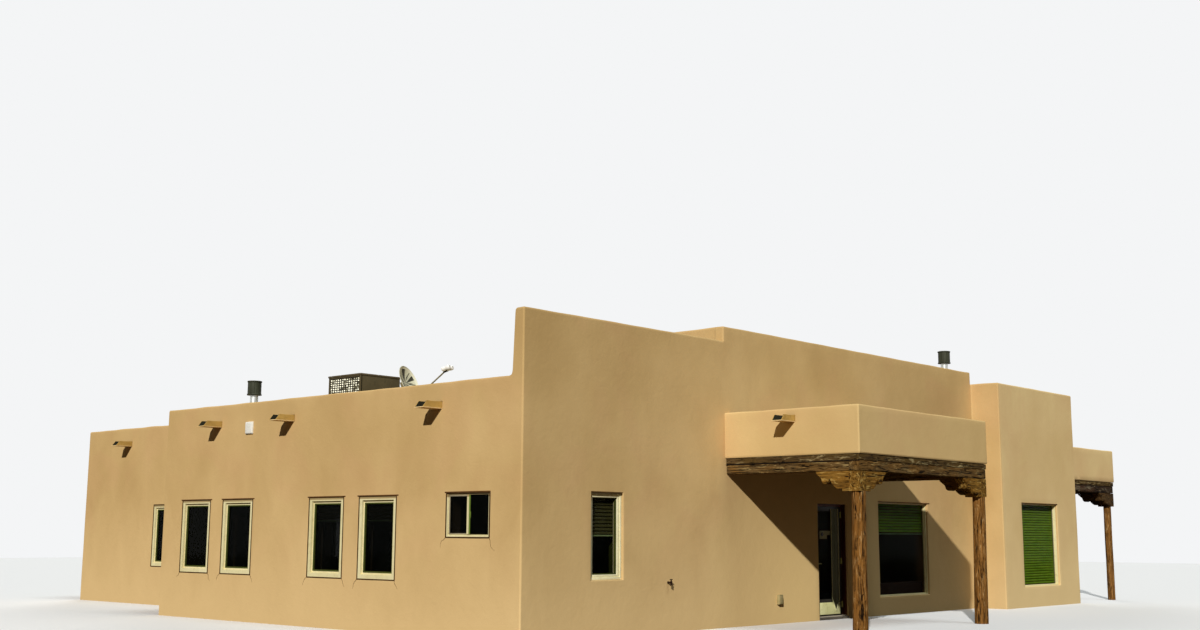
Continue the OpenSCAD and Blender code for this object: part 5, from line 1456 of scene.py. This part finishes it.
spread = np.linspace(0.002, 1, 14)
inner = spread * (DISH_R - 0.046)
back_side = lathe([*((r, bowl(r) - 0.008) for r in spread * (DISH_R - 0.004)), (DISH_R, -0.004),
                   (DISH_R, -0.001), (DISH_R - 0.006, 0.0),
                   *((r, bowl(r)) for r in np.linspace(DISH_R - 0.012, DISH_R - 0.05, 5)),
                   *((r, bowl(r) - 0.004) for r in inner[::-1])], 64)
face_points, face_faces = lathe([*((r, bowl(r) - 0.005) for r in inner),
                                 *((r, bowl(r) + 0.0005) for r in inner[::-1])], 64)
out_from = np.hypot(face_points[:, 0], face_points[:, 1])[:, None]
front_side = (face_points, face_faces,
              np.hstack([face_points[:, :2] / np.maximum(out_from, 1e-3), out_from / 3]))
arm = [*blocks(0.006, ((-0.045, -0.045, -DISH_BOWL - 0.080), (0.045, 0.045, -DISH_BOWL - 0.006))),
       *blocks(0.004, ((0, -0.018, -hub - 0.018), (ARM_LOW + 0.018, 0.018, -hub + 0.018))),
       tube(np.linspace([ARM_LOW, 0, -hub], [FEED_LOW, 0, FEED_OUT], 12), 0.014, 8)]
horn, horn_faces = lathe([(0.024, 0.0), (0.032, 0.008), (0.032, 0.040), (0.026, 0.046),
                          (0.026, 0.070), (0.031, 0.076), (0.031, 0.114), (0.027, 0.120)], 32)
horn = horn @ about("Y", math.atan2(FEED_LOW, FEED_OUT)).T * HORN_SIZE
horns = put([(horn + [0, side * 0.056, 0], horn_faces) for side in (-1, 1)],
            [FEED_LOW - 0.028, 0, FEED_OUT - 0.060])
clamp = blocks(0.006, ((FEED_LOW - 0.050, -0.060, FEED_OUT - 0.050),
                       (FEED_LOW + 0.020, 0.060, FEED_OUT - 0.012)),
               ((FEED_LOW - 0.006, -0.020, FEED_OUT - 0.070),
                (FEED_LOW + 0.030, 0.020, FEED_OUT - 0.030)))
mast = [lathe([(0.030, 0.008), (0.024, 0.030), (0.021, 0.034),
               (0.021, DISH_RISE - math.sin(DISH_TILT) * hub), (TINY, DISH_RISE - 0.048)], 24),
        block((-0.130, -0.130, 0), (0.130, 0.130, 0.008), 0.002)]
reach = math.cos(DISH_TILT) * hub
mast_foot = [DISH_X - reach * math.cos(DISH_SWING), DISH_Y - reach * math.sin(DISH_SWING), LOW_DECK]
arm_metal = paint("powder_coated_arm", ("#6C6242", "#7A7050"), "#332C1A", 0.5, 12.0)
for name, parts, place, finish, smooth in (
        ("dish_back", [back_side], on_dish,
         pressed_steel("powder_coated_dish", ("#E6E0C4", "#D4CEB2"), "#BBB292"), 50),
        # The face's near-black radial streaks are painted shadows
        ("dish_face", [front_side], on_dish,
         pressed_steel("painted_shadow_dish_face", ("#D8D3B4", "#C6C1A2"), "#1C1A12"), 50),
        ("dish_arm", arm, on_dish, arm_metal, 40),
        ("dish_feed", horns, on_dish,
         paint("moulded_feed_cover", ("#F0ECE4", "#E4E0D6"), "#A8A290", 0.4, 20.0), 40),
        ("dish_feed_clamp", clamp, on_dish,
         paint("dark_moulded_clamp", ("#1C1D1A", "#2A2B26"), "#4A483A", 0.5, 20.0), 30),
        ("dish_mast", mast, mast_foot, arm_metal, 40)):
    make_piece(name, put(parts, place), finish, "dish_paint", "satellite_dish", smooth=smooth)

# A dark strip between the left rim board and its beam, a painted shadow whose edge shows as a
# thin black line
make_piece("rim_shadow_line", blocks(0.002, ((PORCH_X0 + 0.019, PORCH_Y + 0.030, plank_z - 0.026),
                                      (PORCH_X0 + 0.050, back_y, plank_z - 0.013))),
           paint("painted_rim_shadow", ("#140D07", "#1C130A"), "#2E2010", 0.9, 20.0), "beam_wood")

# ---------------------------------------------------------------- wall fixtures
BOX_Y, BOX_Z, BOX_W, BOX_D = 6.887, 3.274, 0.215, 0.035
box_y0, box_y1, box_top = BOX_Y - BOX_W / 2, BOX_Y + BOX_W / 2, BOX_Z + BOX_W
box = (blocks(0.006, ((-BOX_D + 0.010, box_y0, BOX_Z), (0.004, box_y1, box_top)))
       + blocks(0.008, ((-BOX_D, box_y0 + 0.008, BOX_Z + 0.008),
                        (-BOX_D + 0.014, box_y1 - 0.008, box_top - 0.008))))
TAP, TAP_SIZE, TAP_OUT = [3.320, 0.0, 0.780], 0.85, [0, -0.077, 0]
flange, flange_faces = lathe([(0.024, 0.0), (0.024, 0.006), (0.019, 0.010), (0.018, 0.080)], 24)
tap = put([lathe([(0.017, -0.052), (0.021, -0.040), (0.018, -0.015), (0.024, 0.0), (0.022, 0.020),
                  (0.013, 0.026), (0.013, 0.052), (TINY, 0.053)], 24),
           lathe([(TINY, 0.052), (0.024, 0.050), (0.030, 0.055), (0.030, 0.061), (0.024, 0.064),
                  (TINY, 0.062)], 48, lambda angle: 1 - 0.10 * np.cos(2 * angle) ** 2)], TAP_OUT)
tap.append((flange[:, [0, 2, 1]] * [1, -1, 1] + [0, 0.002, 0], flange_faces))
tap = [(points * TAP_SIZE + TAP, faces) for points, faces in tap]
socket = [block((6.340, -0.050, 0.330), (6.460, 0.004, 0.500), 0.010),
          block((6.346, -0.060, 0.340), (6.454, -0.044, 0.490), 0.008),
          block((6.352, -0.058, 0.494), (6.448, -0.004, 0.4995), 0.002)]
for name, parts, finish, slot, smooth in (
        ("wall_box", box, paint("moulded_box_cover", ("#ECE8DC", "#DEDACC"), "#A89C80", 0.45, 8.0),
         "fixture_white", 30),
        ("garden_tap", tap,
         paint("blackened_cast_brass", ("#2A1708", "#1E1106"), "#38220F", 0.85, 30.0),
         "unit_paint", 40),
        ("socket_cover", socket,
         paint("moulded_socket_cover", ("#A8986A", "#9A8A5C"), "#5C5030", 0.5, 20.0),
         "fixture_white", 30)):
    make_piece(name, parts, finish, slot, "wall_fixtures", smooth=smooth)


# ---------------------------------------------------------------- roofs and floor
def gravel_material():
    """Rolled roofing under pale pea gravel: stones 12 to 25 mm across, drawn 40 mm across so that
    they show, over thinner, darker patches where the felt comes through."""
    coat = Coat("gravelled_felt", 0.95, specular=0.2)
    stones = coat.add("ShaderNodeTexVoronoi", {"Vector": coat.where, "Scale": 25.0})
    colour = coat.ramp(stones.outputs["Color"], (0.15, "#8C8068"), (0.5, "#B0A488"),
                       (0.85, "#CFC6AE"))
    colour = coat.lay(colour, "#7A705C", coat.noise(0.9, 4.0, 0.6), (0.45, 0.0), (0.75, 0.6))
    return coat.finish(colour, stones.outputs["Distance"], -0.012, 0.8)


def concrete_material():
    """Trowelled concrete floor: grey blotches, pale worn paths and fine hairline cracks."""
    coat = Coat("trowelled_concrete", 0.7)
    colour = coat.ramp(coat.noise(1.2, 5.0, 0.6, distortion=0.4), (0.3, "#4E483E"),
                       (0.5, "#625B50"), (0.7, "#787062"))
    cells = coat.add("ShaderNodeTexVoronoi", {"Vector": coat.where, "Scale": 0.8},
                     feature="DISTANCE_TO_EDGE").outputs["Distance"]
    colour = coat.lay(colour, "#3A342A", cells, (0.0, 1.0), (0.006, 0.0))
    return coat.finish(colour, coat.noise(60.0), 0.001, 0.5)


gravel = gravel_material()
for name in ("low_roof_left", "low_roof_back", "wing_roof", "great_roof", "block_roof",
             "porch_roof", "side_porch_roof"):
    dress(name, gravel)
dress("floor_slab", concrete_material())


# ---------------------------------------------------------------- setting, light and camera
def setting_material():
    """Matt floor that throws back the light as a dark warm brown; the camera sees it near white."""
    coat = Coat("pale_floor", 0.9)
    seen = coat.add("ShaderNodeLightPath").outputs["Is Camera Ray"]
    return coat.finish(coat.mix(seen, "#4E3E27", "#E4E2DE"))


FLOOR_HALF = 60.0
floor_mesh = bpy.data.meshes.new("floor")
floor_mesh.from_pydata([(x * FLOOR_HALF, y * FLOOR_HALF, 0)
                        for x, y in ((-1, -1), (1, -1), (1, 1), (-1, 1))], [], [(0, 1, 2, 3)])
floor_mesh.materials.append(setting_material())
floor = bpy.data.objects.new("floor", floor_mesh)
bpy.context.scene.collection.objects.link(floor)

# A white backdrop for what is seen, also in glass; the house is lit by a fraction of it
world = bpy.data.worlds.new("studio")
world.use_nodes = True
bpy.context.scene.world = world
tree = world.node_tree
feed(tree, tree.nodes["Background"].inputs["Color"], "#F4F5F6")
seen = add(tree, "ShaderNodeLightPath").outputs
shown = seen["Is Camera Ray"]
for kind in ("Is Glossy Ray", "Is Transmission Ray"):
    shown = add(tree, "ShaderNodeMath", {0: shown, 1: seen[kind]}, operation="MAXIMUM").outputs[0]
level = add(tree, "ShaderNodeMapRange", {"Value": shown, "To Min": 0.038, "To Max": 1.0})
feed(tree, tree.nodes["Background"].inputs["Strength"], level.outputs[0])


def turn_to(item, right, up, back):
    """Turns an object so that its X, Y and Z axes point along these."""
    item.rotation_euler = mathutils.Matrix(np.column_stack([right, up, back]).tolist()).to_euler()


def lamp(name, way, energy, angle, colour="#FFFFFF"):
    """A distant lamp whose light travels along way."""
    data = bpy.data.lights.new(name, "SUN")
    data.energy, data.angle = energy, math.radians(angle)
    data.color = linear(colour)[:3]
    item = bpy.data.objects.new(name, data)
    back = -np.array(way) / np.linalg.norm(way)
    right = np.cross([0, 0, 1], back)
    right /= np.linalg.norm(right)
    turn_to(item, right, np.cross(back, right), back)
    item.location = (back * 40).tolist()
    bpy.context.scene.collection.objects.link(item)


lamp("key_lamp", (1.0, 0.6, -0.605), 3.68, 1.0)
lamp("top_lamp", (0.0, 0.40, -0.92), 1.08, 20, "#E6F6FF")
lamp("rear_lamp", (-0.60, -0.62, -0.50), 1.20, 30)

# The camera solved from the photo's edges
camera_data = bpy.data.cameras.new("camera")
camera_data.lens, camera_data.sensor_width, camera_data.clip_end = 41.218, 36.0, 500
camera = bpy.data.objects.new("camera", camera_data)
camera.location = in_row([-14.038, -14.153, 1.536]).tolist()
turn_to(camera, (0.66894, -0.74331, 0.00456), (-0.12017, -0.10209, 0.98749),
        (-0.73354, -0.66112, -0.15761))
bpy.context.scene.collection.objects.link(camera)
bpy.context.scene.camera = camera
bpy.context.scene.view_settings.view_transform = "Standard"
